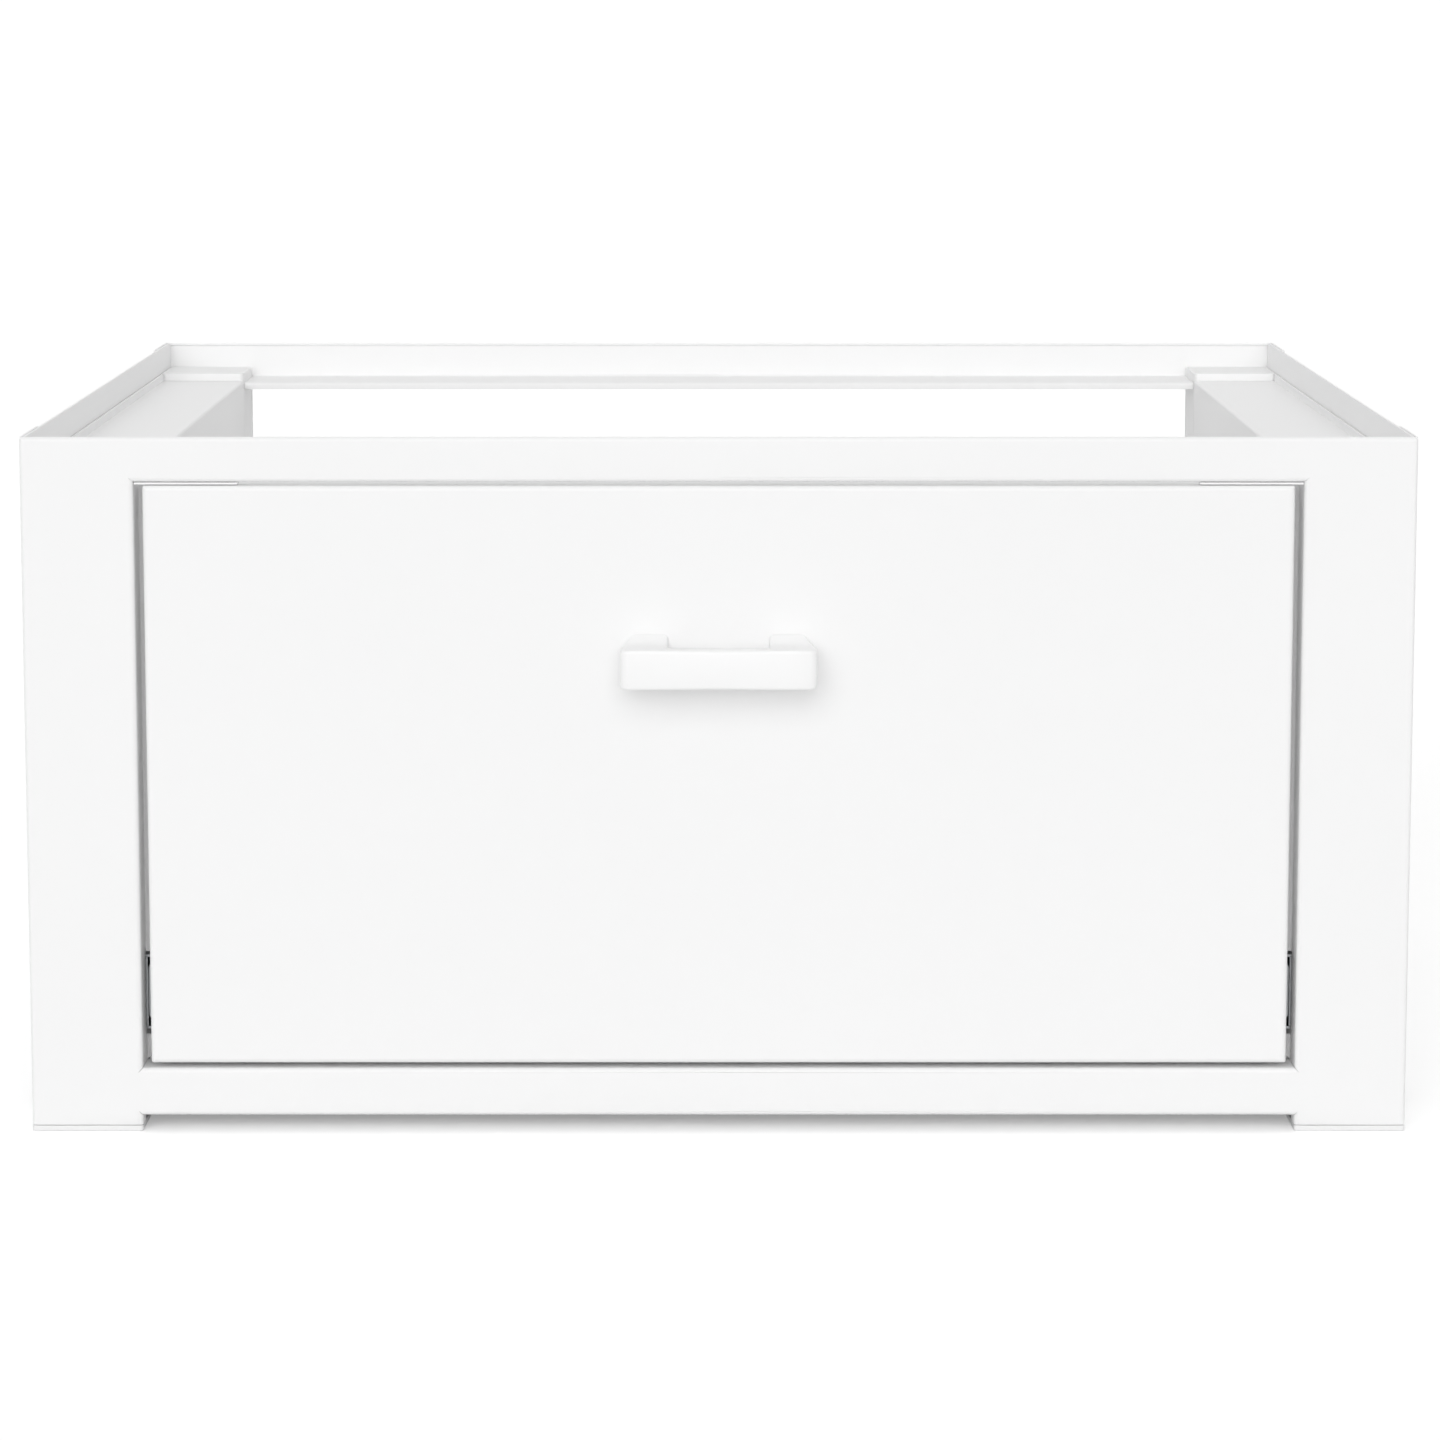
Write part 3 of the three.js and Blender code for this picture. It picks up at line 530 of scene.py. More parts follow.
for side in ("left", "right"):
    corner_post(f"{side}_front_post")
    corner_post(f"{side}_rear_post")
for side in ("right", "left"):
    plate(
        f"{side}_front_gusset_plate", *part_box(f"{side}_front_gusset"), gusset_edge, powder_coat,
        "frame", "white_powder_coat", f"{side}_front_gusset",
    )

# ------------------------ foot pads
# Moulded polyethylene pads as wide as the legs. A hollow plug on each pushes up into the post.

pad_thickness = 2.7 * mm
pad_corner = 1.5 * mm
pad_edge = 0.5 * mm
plug_gap = 1.8 * mm             # post wall and clearance
plug_wall = 2.5 * mm
plug_floor = 3 * mm
plug_corner = 1.2 * mm
plug_corner_inside = 0.8 * mm


def moulded_polyethylene():
    # Off-white polyethylene with the dull, slightly waxy skin of a coarse mould. The grain is about
    # half a millimetre across.
    grain = 0.5 * mm
    grain_height = 0.02 * mm
    material, tree = new_material("moulded_polyethylene")
    place = add_node(tree, "ShaderNodeTexCoord").outputs["Object"]
    noise = add_node(tree, "ShaderNodeTexNoise", {"Vector": place, "Scale": 1 / grain, "Detail": 1.0})
    colour = add_node(
        tree, "ShaderNodeMix", {0: noise.outputs["Fac"], 6: linear("#EEEEEE"), 7: linear("#F3F3F3")},
        data_type="RGBA",
    )
    bump = add_node(tree, "ShaderNodeBump", {"Height": noise.outputs["Fac"], "Distance": grain_height})
    shader = add_node(tree, "ShaderNodeBsdfPrincipled", {
        "Base Color": colour.outputs[2],
        "Roughness": 0.55,
        "IOR": 1.51,
        "Normal": bump.outputs["Normal"],
    })
    add_node(tree, "ShaderNodeOutputMaterial", {"Surface": shader.outputs["BSDF"]})
    return material


polyethylene = moulded_polyethylene()


def foot_pad(side, end):
    node = f"{side}_{end}_foot"
    low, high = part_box(node)
    post_low, post_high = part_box(f"{side}_{end}_post")

    def ring(lowest, highest, inset, radius, z):
        outline = rounded_rectangle(
            (lowest.x + inset, lowest.y + inset), (highest.x - inset, highest.y - inset), radius)
        return [(x, y, z) for x, y in outline]

    mesh = bmesh.new()
    stack(mesh, [
        ring(low, high, 0, pad_corner, low.z),
        ring(low, high, 0, pad_corner, pad_thickness),
        ring(post_low, post_high, plug_gap, plug_corner, pad_thickness),
        ring(post_low, post_high, plug_gap, plug_corner, high.z),
        ring(post_low, post_high, plug_gap + plug_wall, plug_corner_inside, high.z),
        ring(post_low, post_high, plug_gap + plug_wall, plug_corner_inside, plug_floor),
    ])
    piece = place_piece(f"{node}_pad", mesh, polyethylene, "frame", node)
    break_edges(piece, pad_edge)


for side in ("left", "right"):
    for end in ("front", "rear"):
        foot_pad(side, end)

# ------------------------ bolts at the posts
# Zinc-plated M6 hexagon bolts, chamfered, through each end fold of the inner walls into the posts.

bolt_across_flats = 10 * mm
bolt_head = 4 * mm
bolt_chamfer = 0.5 * mm
bolt_edge = 0.1 * mm
bolt_shank = 6 * mm
bolt_sides = 24                 # points round it, four to each flat of the head


def zinc_plated_steel():
    # Bright zinc over pressed or rolled steel: bluish grey metal with fine streaks along the rolling
    # direction and a faint mottle from the bath. The streaks are drawn about 1 mm apart.
    streak = 1.0 * mm
    streak_height = 0.004 * mm
    streak_slimness = 0.03      # width of a streak by its length
    mottle = 9 * mm
    material, tree = new_material("zinc_plated_steel")
    place = add_node(tree, "ShaderNodeTexCoord").outputs["Object"]
    along = add_node(tree, "ShaderNodeMapping", {
        "Vector": place,
        "Scale": (1 / streak, streak_slimness / streak, 1 / streak),
    })
    streaks = add_node(
        tree, "ShaderNodeTexNoise", {"Vector": along.outputs[0], "Scale": 1.0, "Detail": 3.0})
    bath = add_node(tree, "ShaderNodeTexNoise", {"Vector": place, "Scale": 1 / mottle, "Detail": 3.0})
    colour = add_node(
        tree, "ShaderNodeMix", {0: bath.outputs["Fac"], 6: linear("#C2C6C9"), 7: linear("#D1D3D4")},
        data_type="RGBA",
    )
    gloss = add_node(
        tree, "ShaderNodeMapRange", {"Value": streaks.outputs["Fac"], "To Min": 0.26, "To Max": 0.44})
    bump = add_node(
        tree, "ShaderNodeBump", {"Height": streaks.outputs["Fac"], "Distance": streak_height})
    shader = add_node(tree, "ShaderNodeBsdfPrincipled", {
        "Base Color": colour.outputs[2],
        "Metallic": 1.0,
        "Roughness": gloss.outputs["Result"],
        "Normal": bump.outputs["Normal"],
    })
    add_node(tree, "ShaderNodeOutputMaterial", {"Surface": shader.outputs["BSDF"]})
    return material


zinc = zinc_plated_steel()


def turned_ring(radius_at, height, count, at):
    """A ring round the axis of a fastener. radius_at gives its radius in each direction."""
    angles = [2 * math.pi * i / count for i in range(count)]
    return [at(radius_at(a) * math.cos(a), radius_at(a) * math.sin(a), height) for a in angles]


def hexagon(across_flats):
    def radius_at(angle):
        from_flat = (angle % (math.pi / 3)) - math.pi / 6
        return across_flats / 2 / math.cos(from_flat)
    return radius_at


def circle(diameter):
    return lambda angle: diameter / 2


def hexagon_bolt(node, inward):
    """The head's underside is towards the post, and the shank runs the way of inward."""
    low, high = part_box(node)
    centre = (low + high) / 2
    seat = (high.y - bolt_head) if inward < 0 else (low.y + bolt_head)
    tip = low.y if inward < 0 else high.y

    def at(u, v, height):
        return centre.x + u, seat - inward * height, centre.z + v

    length = abs(tip - seat)
    face = bolt_across_flats - 2 * bolt_chamfer
    profile = [
        (circle(face), bolt_head),
        (hexagon(bolt_across_flats), bolt_head - bolt_chamfer),
        (hexagon(bolt_across_flats), 0),
        (circle(bolt_shank), 0),
        (circle(bolt_shank), -length + bolt_chamfer),
        (circle(bolt_shank - 2 * bolt_chamfer), -length),
    ]
    mesh = bmesh.new()
    stack(mesh, [turned_ring(radius_at, height, bolt_sides, at) for radius_at, height in profile])
    bmesh.ops.recalc_face_normals(mesh, faces=mesh.faces)
    piece = place_piece(f"{node}_m6", mesh, zinc, "frame", node)
    break_edges(piece, bolt_edge, segments=1)


for side in ("left", "right"):
    for place in ("lower", "upper"):
        hexagon_bolt(f"{side}_front_{place}_bolt", -1)
        hexagon_bolt(f"{side}_rear_{place}_bolt", 1)

# ------------------------ drawer front
# A shallow pan drawn and folded from 1 mm sheet, coated with the frame, so that its four edges are
# softly rounded and no raw edge faces the hand.

drawer_sheet = 1 * mm
pan_corner = 1.2 * mm
pan_edge = 2.6 * mm

pan_mesh = capped_box(
    (pan_low.x, pan_low.z), (pan_high.x, pan_high.z), pan_corner, pan_edge, pan_high.y - pan_low.y,
    lambda x, z, back: (x, pan_low.y + back, z),
)
sheet_piece(
    "drawer_front_pan", pan_mesh, drawer_sheet, (0, -1, 0), powder_coat,
    "drawer", "drawer_front",
)

# ------------------------ drawer sides, bottom and back
# Folded 1 mm sheet. Each side turns in over the top with a lip, turns in under the bottom sheet, and
# has a tab that is welded behind the pan. The back is a shallow U between the sides.

drawer_fold_inside = 0.6 * mm
drawer_fold_outside = drawer_fold_inside + drawer_sheet
side_top_flange = 8 * mm
side_top_lip = 5 * mm
side_tab_inset = 6 * mm
side_tab = 12 * mm
notch_clearance = 2 * mm

box_low, box_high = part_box("right_drawer_side")
back_low, back_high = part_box("drawer_back")


def drawer_side(side, sign):
    outer, inner = box_high.x, box_low.x
    tab_bottom, tab_top = box_low.z + side_tab_inset, box_high.z - side_tab_inset
    tab_y = box_low.y + drawer_fold_outside
    notch_y = back_low.y - notch_clearance
    flange_x = outer - side_top_flange
    mesh = bmesh.new()
    section = fold_line([
        (inner, box_low.z),
        (outer, box_low.z),
        (outer, tab_bottom),
        (outer, tab_top),
        (outer, box_high.z),
        (flange_x, box_high.z),
        (flange_x, box_high.z - side_top_lip),
    ], drawer_sheet, drawer_fold_inside)

    def cut_away(point, y):
        at_tab = tab_bottom < point.y < tab_top and point.x == outer and y < tab_y
        at_notch = y > notch_y and point.y > tab_top and point.x < outer
        return at_tab or at_notch

    strip(
        mesh, section, [box_low.y, tab_y, notch_y, box_high.y],
        lambda point, y: (point.x, y, point.y), cut_away,
    )
    tab = fold_line(
        [(outer, drawer_fold_outside), (outer, 0), (outer - side_tab, 0)],
        -drawer_sheet, drawer_fold_outside,
    )[1:]
    strip(mesh, tab, [tab_bottom, tab_top], lambda point, z: (point.x, box_low.y + point.y, z))
    sheet_piece(
        f"{side}_drawer_side_sheet", mirrored_to(sign, mesh), drawer_sheet, (sign, 0, 0), powder_coat,
        "drawer", f"{side}_drawer_side",
    )


for_both_sides(drawer_side)
plate(
    "drawer_bottom_sheet", *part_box("drawer_bottom"), sheet_edge, powder_coat,
    "drawer", "white_powder_coat", "drawer_bottom",
)

back_mesh = bmesh.new()
strip(
    back_mesh,
    fold_line([
        (back_high.x, back_low.y),
        (back_high.x, back_high.y),
        (back_low.x, back_high.y),
        (back_low.x, back_low.y),
    ], drawer_sheet, drawer_fold_inside),
    [back_low.z, back_high.z],
    lambda point, z: (point.x, point.y, z),
)
sheet_piece(
    "drawer_back_sheet", back_mesh, drawer_sheet, (0, 1, 0), powder_coat,
    "drawer", "drawer_back",
)

# ------------------------ screws and rivets
# Zinc-plated pan-head screws with a cross recess hold the drawer's back, the slides and the handle.
# Rivets with low domed heads hold each slide to its wall.

screw_shank = 4 * mm
screw_head_height = 2.2 * mm
rivet_head_height = 1.2 * mm
dome = ((1, 0), (1, 0.35), (0.93, 0.68), (0.8, 0.88), (0.62, 0.98))  # shares of width and height
rivet_crown = 0.3               # share of the head's width
recess_arm = 1.9 * mm
recess_half_width = 0.45 * mm
recess_depth = 1.3 * mm
recess_taper = 0.6              # its size at the bottom by its size at the top
screw_sides = 32
screw_crease = math.radians(40)


def cross(arm, half_width_of_arm):
    """Radius of a cross recess: four arms of the same width."""
    def radius_at(angle):
        across = abs(math.sin(2 * angle)) / 2
        return min(arm, half_width_of_arm / max(across, half_width_of_arm / arm))
    return radius_at


def fastener(node, axis, towards, head_height, body, recessed):
    """A domed head with its shank along one axis of the frame, in the direction towards."""
    low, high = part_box(node)
    centre = (low + high) / 2
    head = high[(axis + 1) % 3] - low[(axis + 1) % 3]
    length = high[axis] - low[axis] - head_height
    seat = low[axis] + head_height if towards > 0 else high[axis] - head_height
    across, up = [k for k in range(3) if k != axis]

    def at(u, v, height):
        corner = centre.copy()
        corner[axis] = seat - towards * height
        corner[across] += u
        corner[up] += v
        return corner

    profile = [(circle(screw_shank), -length), (circle(screw_shank), 0)]
    profile += [(circle(head * width), head_height * height) for width, height in dome]
    if recessed:
        narrowed = cross(recess_arm * recess_taper, recess_half_width * recess_taper)
        profile.append((cross(recess_arm, recess_half_width), head_height))
        profile.append((narrowed, head_height - recess_depth))
    else:
        profile.append((circle(head * rivet_crown), head_height))
    mesh = bmesh.new()
    stack(mesh, [turned_ring(radius_at, height, screw_sides, at) for radius_at, height in profile])
    bmesh.ops.recalc_face_normals(mesh, faces=mesh.faces)
    piece = place_piece(f"{node}_head", mesh, zinc, body, node)
    piece.data.set_sharp_from_angle(angle=screw_crease)


for side, sign in both_sides:
    for place in ("lower", "upper"):
        fastener(f"{side}_back_{place}_screw", 0, -sign, screw_head_height, "drawer", True)
    for place in ("front", "rear"):
        fastener(f"{side}_slide_{place}_screw", 0, sign, screw_head_height, "drawer", True)
        fastener(f"{side}_slide_{place}_rivet", 0, -sign, rivet_head_height, "frame", False)
    fastener(f"{side}_handle_screw", 1, -1, screw_head_height, "drawer", True)

# ------------------------ handle
# A moulded ABS bow: a bar with softly rounded edges on two posts. Each post's foot flares up a few
# millimetres where it meets the pan, and the posts run out to the ends of the bar.

handle_bar = 8 * mm
handle_post = 16.5 * mm
handle_post_inset = 4.7 * mm
handle_flare = 3.6 * mm
handle_flare_depth = 8 * mm
handle_fillet = 5 * mm
handle_corner = 3.2 * mm        # where the front of the bar turns back at its ends
handle_edge = 1.6 * mm
handle_crease = math.radians(50)


def moulded_abs():
    # White ABS from a finely spark-eroded mould: brighter and a little glossier than the coated
    # steel. The grain is about 0.3 mm across.
    grain = 0.3 * mm
    grain_height = 0.006 * mm
    material, tree = new_material("moulded_abs")
    place = add_node(tree, "ShaderNodeTexCoord").outputs["Object"]
    noise = add_node(tree, "ShaderNodeTexNoise", {"Vector": place, "Scale": 1 / grain, "Detail": 2.0})
    colour = add_node(
        tree, "ShaderNodeMix", {0: noise.outputs["Fac"], 6: linear("#F7F7F7"), 7: linear("#F9F9F9")},
        data_type="RGBA",
    )
    gloss = add_node(
        tree, "ShaderNodeMapRange", {"Value": noise.outputs["Fac"], "To Min": 0.28, "To Max": 0.38})
    bump = add_node(tree, "ShaderNodeBump", {"Height": noise.outputs["Fac"], "Distance": grain_height})
    shader = add_node(tree, "ShaderNodeBsdfPrincipled", {
        "Base Color": colour.outputs[2],
        "Roughness": gloss.outputs["Result"],
        "IOR": 1.53,
        "Normal": bump.outputs["Normal"],
    })
    add_node(tree, "ShaderNodeOutputMaterial", {"Surface": shader.outputs["BSDF"]})
    return material


handle_low, handle_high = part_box("handle")
bar_top = handle_high.z - handle_flare


def bow_handle():
    """Rings across the bow, from the foot of the right post to the middle of the bar: up the post,
    round the bend and along the bar."""
    post_steps, bend_steps, edge_steps = 8, 6, 4
    foot_y = handle_high.y
    front = handle_low.y
    bar_back = front + handle_bar
    end = handle_high.x
    outer = end - handle_post_inset
    inner = outer - handle_post
    stations = []
    for step in range(post_steps + 1):
        share = step / post_steps
        y = foot_y + (bar_back + handle_fillet - foot_y) * share
        swell = (outer - end) * (1 - share) ** 2
        flare = handle_flare * max(0.0, 1 - (foot_y - y) / handle_flare_depth) ** 2
        stations.append(((end + swell, y), (inner, y), flare))
    for step in range(1, bend_steps + 1):
        angle = math.pi / 2 * step / bend_steps
        inside = (
            inner - handle_fillet * (1 - math.cos(angle)),
            bar_back + handle_fillet * (1 - math.sin(angle)),
        )
        along = step / bend_steps
        if along <= 0.5:
            outside = (end, bar_back + (front + handle_corner - bar_back) * along * 2)
        else:
            turn = math.pi / 2 * (along - 0.5) * 2
            outside = (
                end - handle_corner * (1 - math.cos(turn)),
                front + handle_corner * (1 - math.sin(turn)),
            )
        stations.append((outside, inside, 0))
    reach = inner - handle_fillet
    for share in (0.25, 0.5, 0.75, 1.0):
        outer_x = (end - handle_corner) * (1 - share)
        stations.append(((outer_x, front), (reach * (1 - share), bar_back), 0))
    rings = []
    for outside, inside, flare in stations:
        outside, inside = Vector(outside), Vector(inside)
        width = (outside - inside).length
        top = bar_top + flare
        ring = rounded_rectangle((0, handle_low.z), (width, top), handle_edge, edge_steps)
        rings.append([(*(inside + (outside - inside) * (u / width)), z) for u, z in ring])
    mesh = bmesh.new()
    stack(mesh, rings, close_last=False)
    add_left_half(mesh)
    bmesh.ops.recalc_face_normals(mesh, faces=mesh.faces)
    return mesh


handle_piece = place_piece(
    "handle_bow", bow_handle(), moulded_abs(), "drawer", "handle")
handle_piece.data.set_sharp_from_angle(angle=handle_crease)

# ------------------------ slides
# Full-extension ball-bearing slides, roll-formed from zinc-plated strip: a cabinet member riveted to
# the wall, with a stop tab at its front end, a middle member, and a drawer member screwed to the
# drawer's side, with the pin of the release lever on its web.

slide_sheet = 1.2 * mm
slide_fold_inside = 0.4 * mm
slide_lip = 2.1 * mm
lever_pin = 3.4 * mm
lever_pin_edge = 0.3 * mm
lever_pin_beyond = 0.3 * mm     # past the face of the lever
lever_pin_sides = 24
lever_pin_crease = math.radians(30)
cage_stop_height = 1.1 * mm     # out from the web
cage_stop_sheet = 0.8 * mm
cage_stop_inset = 0.6 * mm      # from the member's edges
cage_stop_edge = 0.1 * mm


def slide_member(node, body, opens_inwards, sign):
    """A channel with lipped flanges, from its web to the lips. Drawn for the right-hand slide."""
    low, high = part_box(node)
    web, reach = (high.x, low.x) if (sign > 0) == opens_inwards else (low.x, high.x)
    web, reach = abs(web), abs(reach)
    corners = [
        (reach, low.z + slide_lip),
        (reach, low.z),
        (web, low.z),
        (web, high.z),
        (reach, high.z),
        (reach, high.z - slide_lip),
    ]
    if reach > web:
        corners.reverse()
    mesh = bmesh.new()
    strip(
        mesh, fold_line(corners, slide_sheet, slide_fold_inside), [low.y, high.y],
        lambda point, y: (point.x, y, point.y),
    )
    web_faces = 1 if opens_inwards else -1
    sheet_piece(
        f"{node}_channel", mirrored_to(sign, mesh), slide_sheet, (web_faces * sign, 0, 0), zinc,
        body, node,
    )


lever_low, lever_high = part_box("right_slide_release_lever")
lever_hub = (lever_high.z - lever_low.z) / 2
lever_pivot_y = lever_high.y - lever_hub
lever_middle_z = (lever_high.z + lever_low.z) / 2


def pin_of_lever(side, sign):
    """Upset from the web of the drawer member, square to it."""
    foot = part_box("right_slide_drawer_member")[0].x + slide_sheet / 2
    end = lever_high.x + lever_pin_beyond
    profile = [
        (lever_pin, foot),
        (lever_pin, end - lever_pin_edge),
        (lever_pin - 2 * lever_pin_edge, end),
    ]

    def at(u, v, x):
        return x, lever_pivot_y + u, lever_middle_z + v

    mesh = bmesh.new()
    stack(mesh, [turned_ring(circle(size), x, lever_pin_sides, at) for size, x in profile])
    bmesh.ops.recalc_face_normals(mesh, faces=mesh.faces)
    piece = place_piece(
        f"{side}_lever_pin", mirrored_to(sign, mesh), zinc,
        "drawer", f"{side}_slide_drawer_member",
    )
    piece.data.set_sharp_from_angle(angle=lever_pin_crease)


def cage_stop(side, sign):
    """A tab lanced out of the cabinet member's web at its front end, where the ball cage would run
    out. It shows in the gap beside the drawer front."""
    node = f"{side}_slide_cabinet_member"
    web = sign * (slide_high.x - slide_sheet)
    reach = web - sign * cage_stop_height
    low = Vector((min(web, reach), slide_low.y, slide_low.z + cage_stop_inset))
    high = Vector((max(web, reach), slide_low.y + cage_stop_sheet, slide_high.z - cage_stop_inset))
    plate(f"{node}_stop", low, high, cage_stop_edge, zinc, "frame", "zinc_plate", node)


for side, sign in both_sides:
    slide_member(f"{side}_slide_cabinet_member", "frame", True, sign)
    slide_member(f"{side}_slide_middle_member", f"{side}_middle_member", True, sign)
    slide_member(f"{side}_slide_drawer_member", "drawer", False, sign)
    pin_of_lever(side, sign)
    cage_stop(side, sign)

# ------------------------ ball cages
# Two rows of six steel balls run between each pair of slide members. A thin pressed and plated strip
# keeps the balls apart, and rolls along at the mean of the two members' speeds.

cage_sheet = 0.4 * mm
cage_rim = 2 * mm               # strip beyond the balls at each end
ball_diameter = 3 * mm
ball_meridians, ball_bands = 16, 10
balls_per_row = 6


def ball_bearing_steel():
    # Hardened chromium steel, lapped until it mirrors, under a thin film of grease. The film's
    # patches are about a millimetre wide and dull the mirror a little.
    patch = 1.2 * mm
    material, tree = new_material("ball_bearing_steel")
    place = add_node(tree, "ShaderNodeTexCoord").outputs["Object"]
    film = add_node(tree, "ShaderNodeTexNoise", {"Vector": place, "Scale": 1 / patch, "Detail": 2.0})
    colour = add_node(
        tree, "ShaderNodeMix", {0: film.outputs["Fac"], 6: linear("#A7A9AB"), 7: linear("#B9BBBC")},
        data_type="RGBA",
    )
    gloss = add_node(
        tree, "ShaderNodeMapRange", {"Value": film.outputs["Fac"], "To Min": 0.10, "To Max": 0.26})
    shader = add_node(tree, "ShaderNodeBsdfPrincipled", {
        "Base Color": colour.outputs[2],
        "Metallic": 1.0,
        "Roughness": gloss.outputs["Result"],
    })
    add_node(tree, "ShaderNodeOutputMaterial", {"Surface": shader.outputs["BSDF"]})
    return material


ball_steel = ball_bearing_steel()


def ball_cage(side, sign, which, outer_member, inner_member):
    """The balls sit midway between the flanges of the member outside them and the one inside."""
    node = f"{side}_slide_{which}_ball_cage"
    body = f"{side}_{which}_cage"
    low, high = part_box(f"right_slide_{which}_ball_cage")
    outer_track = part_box(f"right_slide_{outer_member}")[1]
    inner_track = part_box(f"right_slide_{inner_member}")[1]
    middle = (low.z + high.z) / 2
    rise = (outer_track.z - slide_sheet + inner_track.z) / 2 - middle
    ball_x = low.x + (ball_diameter + cage_rim) / 2
    strip_edge = rise + cage_sheet / 2
    section = fold_line([
        (low.x, middle - strip_edge),
        (high.x, middle - strip_edge),
        (high.x, middle + strip_edge),
        (low.x, middle + strip_edge),
    ], cage_sheet, slide_fold_inside)
    band = bmesh.new()
    strip(band, section, [low.y, high.y], lambda point, y: (point.x, y, point.y))
    sheet_piece(
        f"{node}_strip", mirrored_to(sign, band), cage_sheet, (sign, 0, 0), zinc,
        body, node,
    )
    pitch = (high.y - low.y - 2 * cage_rim - ball_diameter) / (balls_per_row - 1)
    balls = bmesh.new()
    for i in range(balls_per_row):
        y = low.y + cage_rim + ball_diameter / 2 + i * pitch
        for z in (middle - rise, middle + rise):
            bmesh.ops.create_uvsphere(
                balls, u_segments=ball_meridians, v_segments=ball_bands, radius=ball_diameter / 2,
                matrix=Matrix.Translation((ball_x, y, z)),
            )
    place_piece(f"{node}_balls", mirrored_to(sign, balls), ball_steel, body, node)


for side, sign in both_sides:
    ball_cage(side, sign, "outer", "cabinet_member", "middle_member")
    ball_cage(side, sign, "inner", "middle_member", "drawer_member")

# ------------------------ release levers
# A flat lever of black acetal on the pin of each drawer member. Its thin end springs up and down, to
# let the drawer lift off its slides.

lever_tip = 4 * mm
lever_hole = 4 * mm
lever_edge = 0.35 * mm
hub_steps, tip_steps = 16, 10


def moulded_acetal():
    # Black acetal, a touch translucent at its edges in life and slightly waxy. The mould's grain is
    # about a quarter of a millimetre, and handling leaves paler scuffs a few millimetres long.
    grain = 0.25 * mm
    grain_height = 0.008 * mm
    scuff = 4 * mm
    material, tree = new_material("moulded_acetal")
    place = add_node(tree, "ShaderNodeTexCoord").outputs["Object"]
    fine = add_node(tree, "ShaderNodeTexNoise", {"Vector": place, "Scale": 1 / grain, "Detail": 1.0})
    wear = add_node(tree, "ShaderNodeTexNoise", {"Vector": place, "Scale": 1 / scuff, "Detail": 4.0})
    colour = add_node(
        tree, "ShaderNodeMix", {0: wear.outputs["Fac"], 6: linear("#1E1F20"), 7: linear("#2C2D2E")},
        data_type="RGBA",
    )
    gloss = add_node(
        tree, "ShaderNodeMapRange", {"Value": wear.outputs["Fac"], "To Min": 0.38, "To Max": 0.58})
    bump = add_node(tree, "ShaderNodeBump", {"Height": fine.outputs["Fac"], "Distance": grain_height})
    shader = add_node(tree, "ShaderNodeBsdfPrincipled", {
        "Base Color": colour.outputs[2],
        "Roughness": gloss.outputs["Result"],
        "IOR": 1.48,
        "Normal": bump.outputs["Normal"],
    })
    add_node(tree, "ShaderNodeOutputMaterial", {"Surface": shader.outputs["BSDF"]})
    return material


acetal = moulded_acetal()


def release_lever(side, sign):
    """Straight sides run from the round hub to the round tip. Each corner of the outline is joined to
    one of the pin's hole."""
    tip = lever_tip / 2
    tip_y = lever_low.y + tip
    lean = math.acos((lever_hub - tip) / (lever_pivot_y - tip_y))
    outline, hole = [], []
    for centre_y, radius, start, turn, steps in (
        (lever_pivot_y, lever_hub, lean - math.pi, 2 * (math.pi - lean), hub_steps),
        (tip_y, tip, math.pi - lean, 2 * lean, tip_steps),
    ):
        for step in range(steps + 1):
            angle = start + turn * step / steps
            outline.append((
                centre_y + radius * math.cos(angle),
                lever_middle_z + radius * math.sin(angle),
            ))
            hole.append((
                lever_pivot_y + lever_hole / 2 * math.cos(angle),
                lever_middle_z + lever_hole / 2 * math.sin(angle),
            ))
    back, front = lever_low.x, lever_high.x
    rings = [
        [(x, y, z) for y, z in ring]
        for ring, x in (
            (outline, back), (outline, front), (hole, front), (hole, back), (outline, back),
        )
    ]
    mesh = bmesh.new()
    stack(mesh, rings, close_first=False, close_last=False)
    merge_corners(mesh)
    bmesh.ops.recalc_face_normals(mesh, faces=mesh.faces)
    piece = place_piece(
        f"{side}_release_lever_arm", mirrored_to(sign, mesh), acetal,
        f"{side}_lever", f"{side}_slide_release_lever",
    )
    break_edges(piece, lever_edge)


for_both_sides(release_lever)

# ------------------------ floor, light and camera
# A white studio floor that keeps the pedestal's soft shadow, one broad lamp in front and a much
# dimmer one behind, pale walls and ceiling all round, and a long lens from a little above.

floor_reach = 200               # metres each way, out to the horizon
floor_lift = 0.25
floor = bpy.data.objects.new("studio_floor", bpy.data.meshes.new("studio_floor"))
floor_mesh = bmesh.new()
bmesh.ops.create_grid(floor_mesh, x_segments=1, y_segments=1, size=floor_reach)
floor_mesh.to_mesh(floor.data)
floor_mesh.free()
bpy.context.scene.collection.objects.link(floor)


def seen_directly(tree):
    """1 for the camera, and for what glossy and clear surfaces show, and 0 for light that falls."""
    rays = add_node(tree, "ShaderNodeLightPath")
    first = add_node(
        tree, "ShaderNodeMath", {0: rays.outputs["Is Camera Ray"], 1: rays.outputs["Is Glossy Ray"]},
        operation="MAXIMUM",
    )
    both = add_node(
        tree, "ShaderNodeMath", {0: first.outputs[0], 1: rays.outputs["Is Transmission Ray"]},
        operation="MAXIMUM",
    )
    return both.outputs[0]


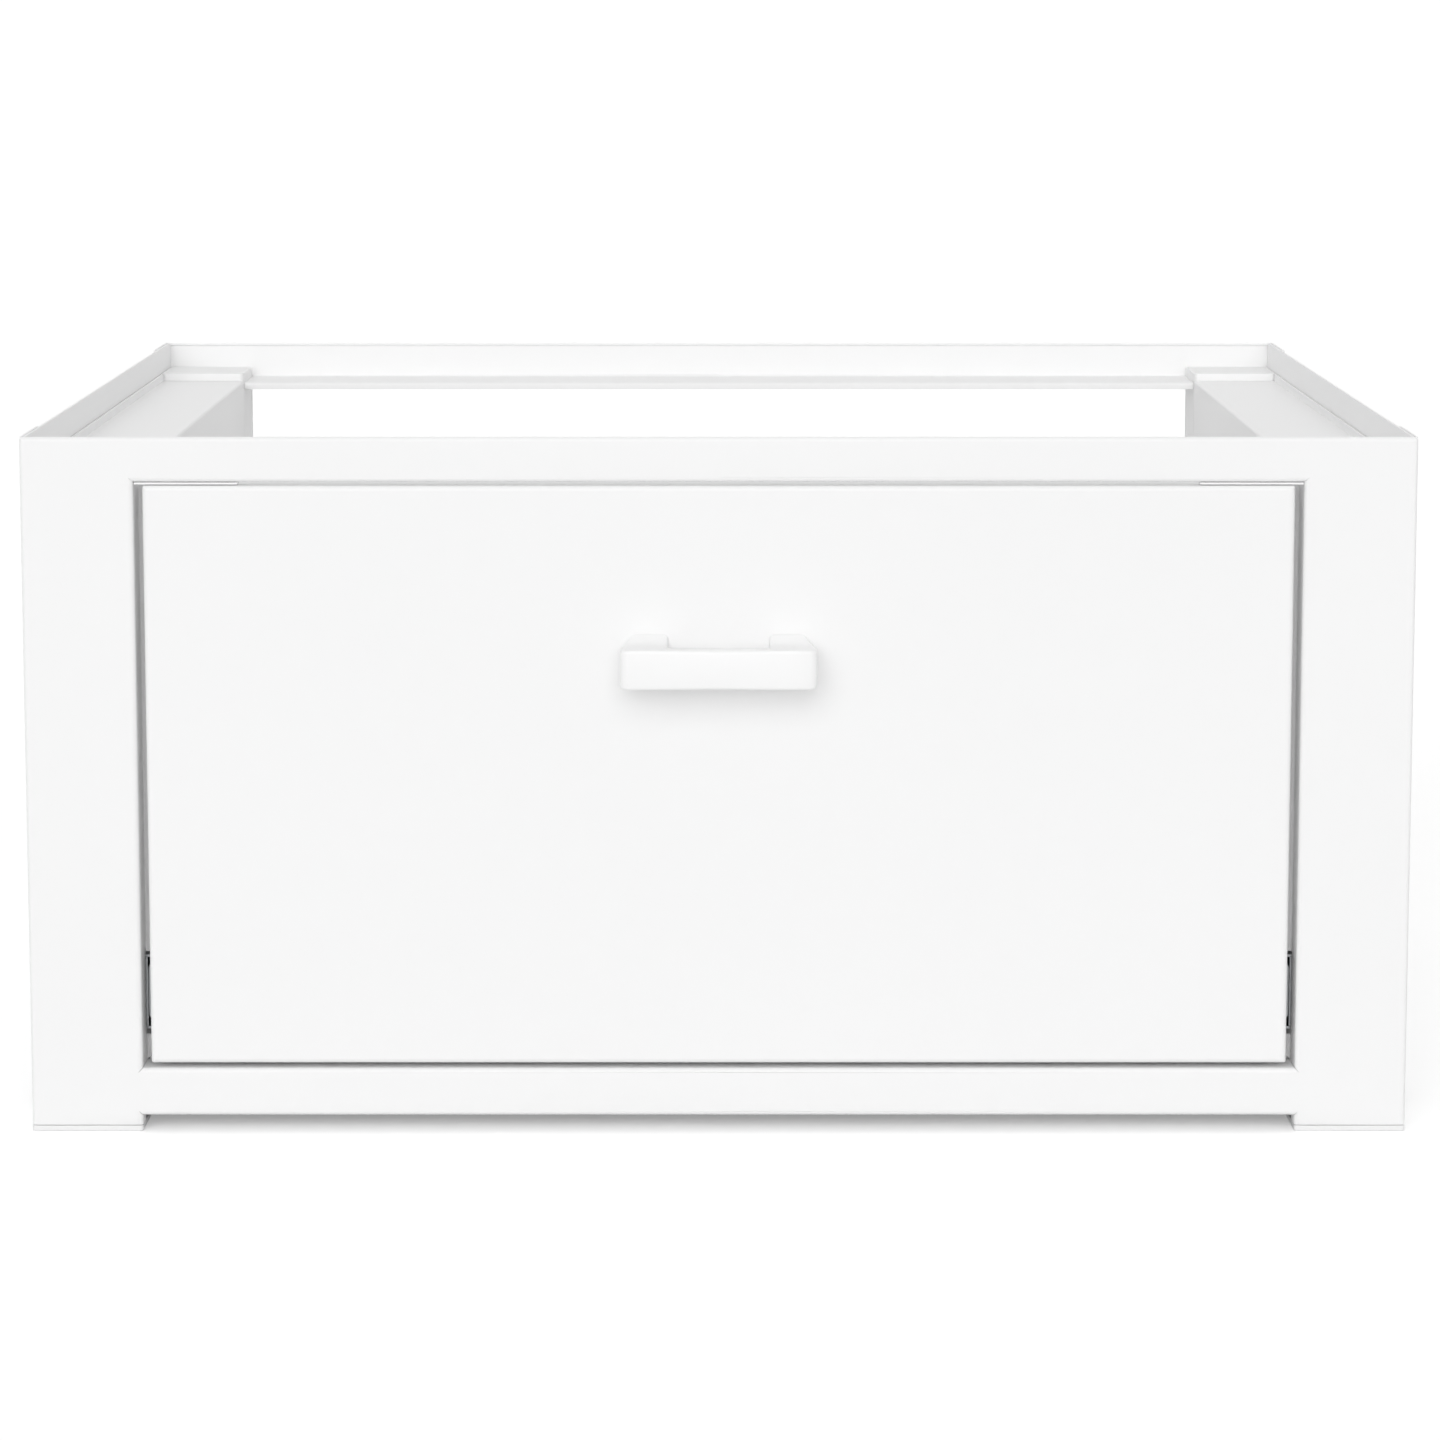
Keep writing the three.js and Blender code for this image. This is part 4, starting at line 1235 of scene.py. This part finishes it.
def white_floor():
    # Matt white paper. The camera sees it a little brighter than it is, so that it clears to white
    # away from the shadow.
    material, tree = new_material("white_paper")
    seen = seen_directly(tree)
    colour = add_node(
        tree, "ShaderNodeMix", {0: seen, 6: linear("#E6E6E6"), 7: linear("#FFFFFF")},
        data_type="RGBA",
    )
    lift = add_node(tree, "ShaderNodeMath", {0: seen, 1: floor_lift}, operation="MULTIPLY")
    shader = add_node(tree, "ShaderNodeBsdfPrincipled", {
        "Base Color": colour.outputs[2],
        "Roughness": 0.9,
        "Specular IOR Level": 0.0,
        "Emission Color": linear("#FFFFFF"),
        "Emission Strength": lift.outputs[0],
    })
    add_node(tree, "ShaderNodeOutputMaterial", {"Surface": shader.outputs["BSDF"]})
    return material


floor.data.materials.append(white_floor())

world = bpy.data.worlds.new("studio")
bpy.context.scene.world = world
world.use_nodes = True
studio = world.node_tree
studio.nodes.clear()
horizon_strength = 0.76         # the studio's walls are brighter than its ceiling
zenith_strength = 0.51
direction = add_node(studio, "ShaderNodeTexCoord").outputs["Generated"]
upwards = add_node(studio, "ShaderNodeSeparateXYZ", {"Vector": direction}).outputs["Z"]
sky_strength = add_node(studio, "ShaderNodeMapRange", {
    "Value": upwards,
    "To Min": horizon_strength,
    "To Max": zenith_strength,
})
sky = add_node(studio, "ShaderNodeMix", {
    0: seen_directly(studio),
    2: sky_strength.outputs["Result"],
    3: 1.0,
})
backdrop = add_node(studio, "ShaderNodeBackground", {
    "Color": linear("#FFFFFF"),
    "Strength": sky.outputs[0],
})
add_node(studio, "ShaderNodeOutputWorld", {"Surface": backdrop.outputs[0]})


def broad_sun(name, azimuth, elevation, width, level):
    """A distant lamp. azimuth is 0 in front of the drawer and grows to the right. level is how
    brightly it lights a white card that faces it."""
    sun = bpy.data.lights.new(name, "SUN")
    sun.angle = math.radians(width)
    sun.energy = math.pi * level
    turned, raised = math.radians(azimuth), math.radians(elevation)
    from_here = Vector((
        math.cos(raised) * math.sin(turned),
        -math.cos(raised) * math.cos(turned),
        math.sin(raised),
    ))
    holder = bpy.data.objects.new(name, sun)
    holder.rotation_euler = from_here.to_track_quat("Z", "Y").to_euler()
    bpy.context.scene.collection.objects.link(holder)


broad_sun("key", azimuth=-6, elevation=20, width=50, level=0.40)
broad_sun("back_fill", azimuth=180, elevation=45, width=60, level=0.07)

camera_distance = 2.002         # in front of the frame's face
camera_height = 0.521
camera_aside = 0.0006
camera_pitch = 7.51             # degrees below level
camera_data = bpy.data.cameras.new("camera")
camera_data.sensor_width = 36
camera_data.lens = 111.8
camera_data.shift_y = -0.10
camera_data.clip_end = 5 * floor_reach
camera = bpy.data.objects.new("camera", camera_data)
camera.location = (camera_aside, front_low.y - camera_distance, camera_height)
camera.rotation_euler = (math.radians(90 - camera_pitch), 0, 0)
bpy.context.scene.collection.objects.link(camera)
bpy.context.scene.camera = camera
bpy.context.scene.view_settings.view_transform = "Standard"
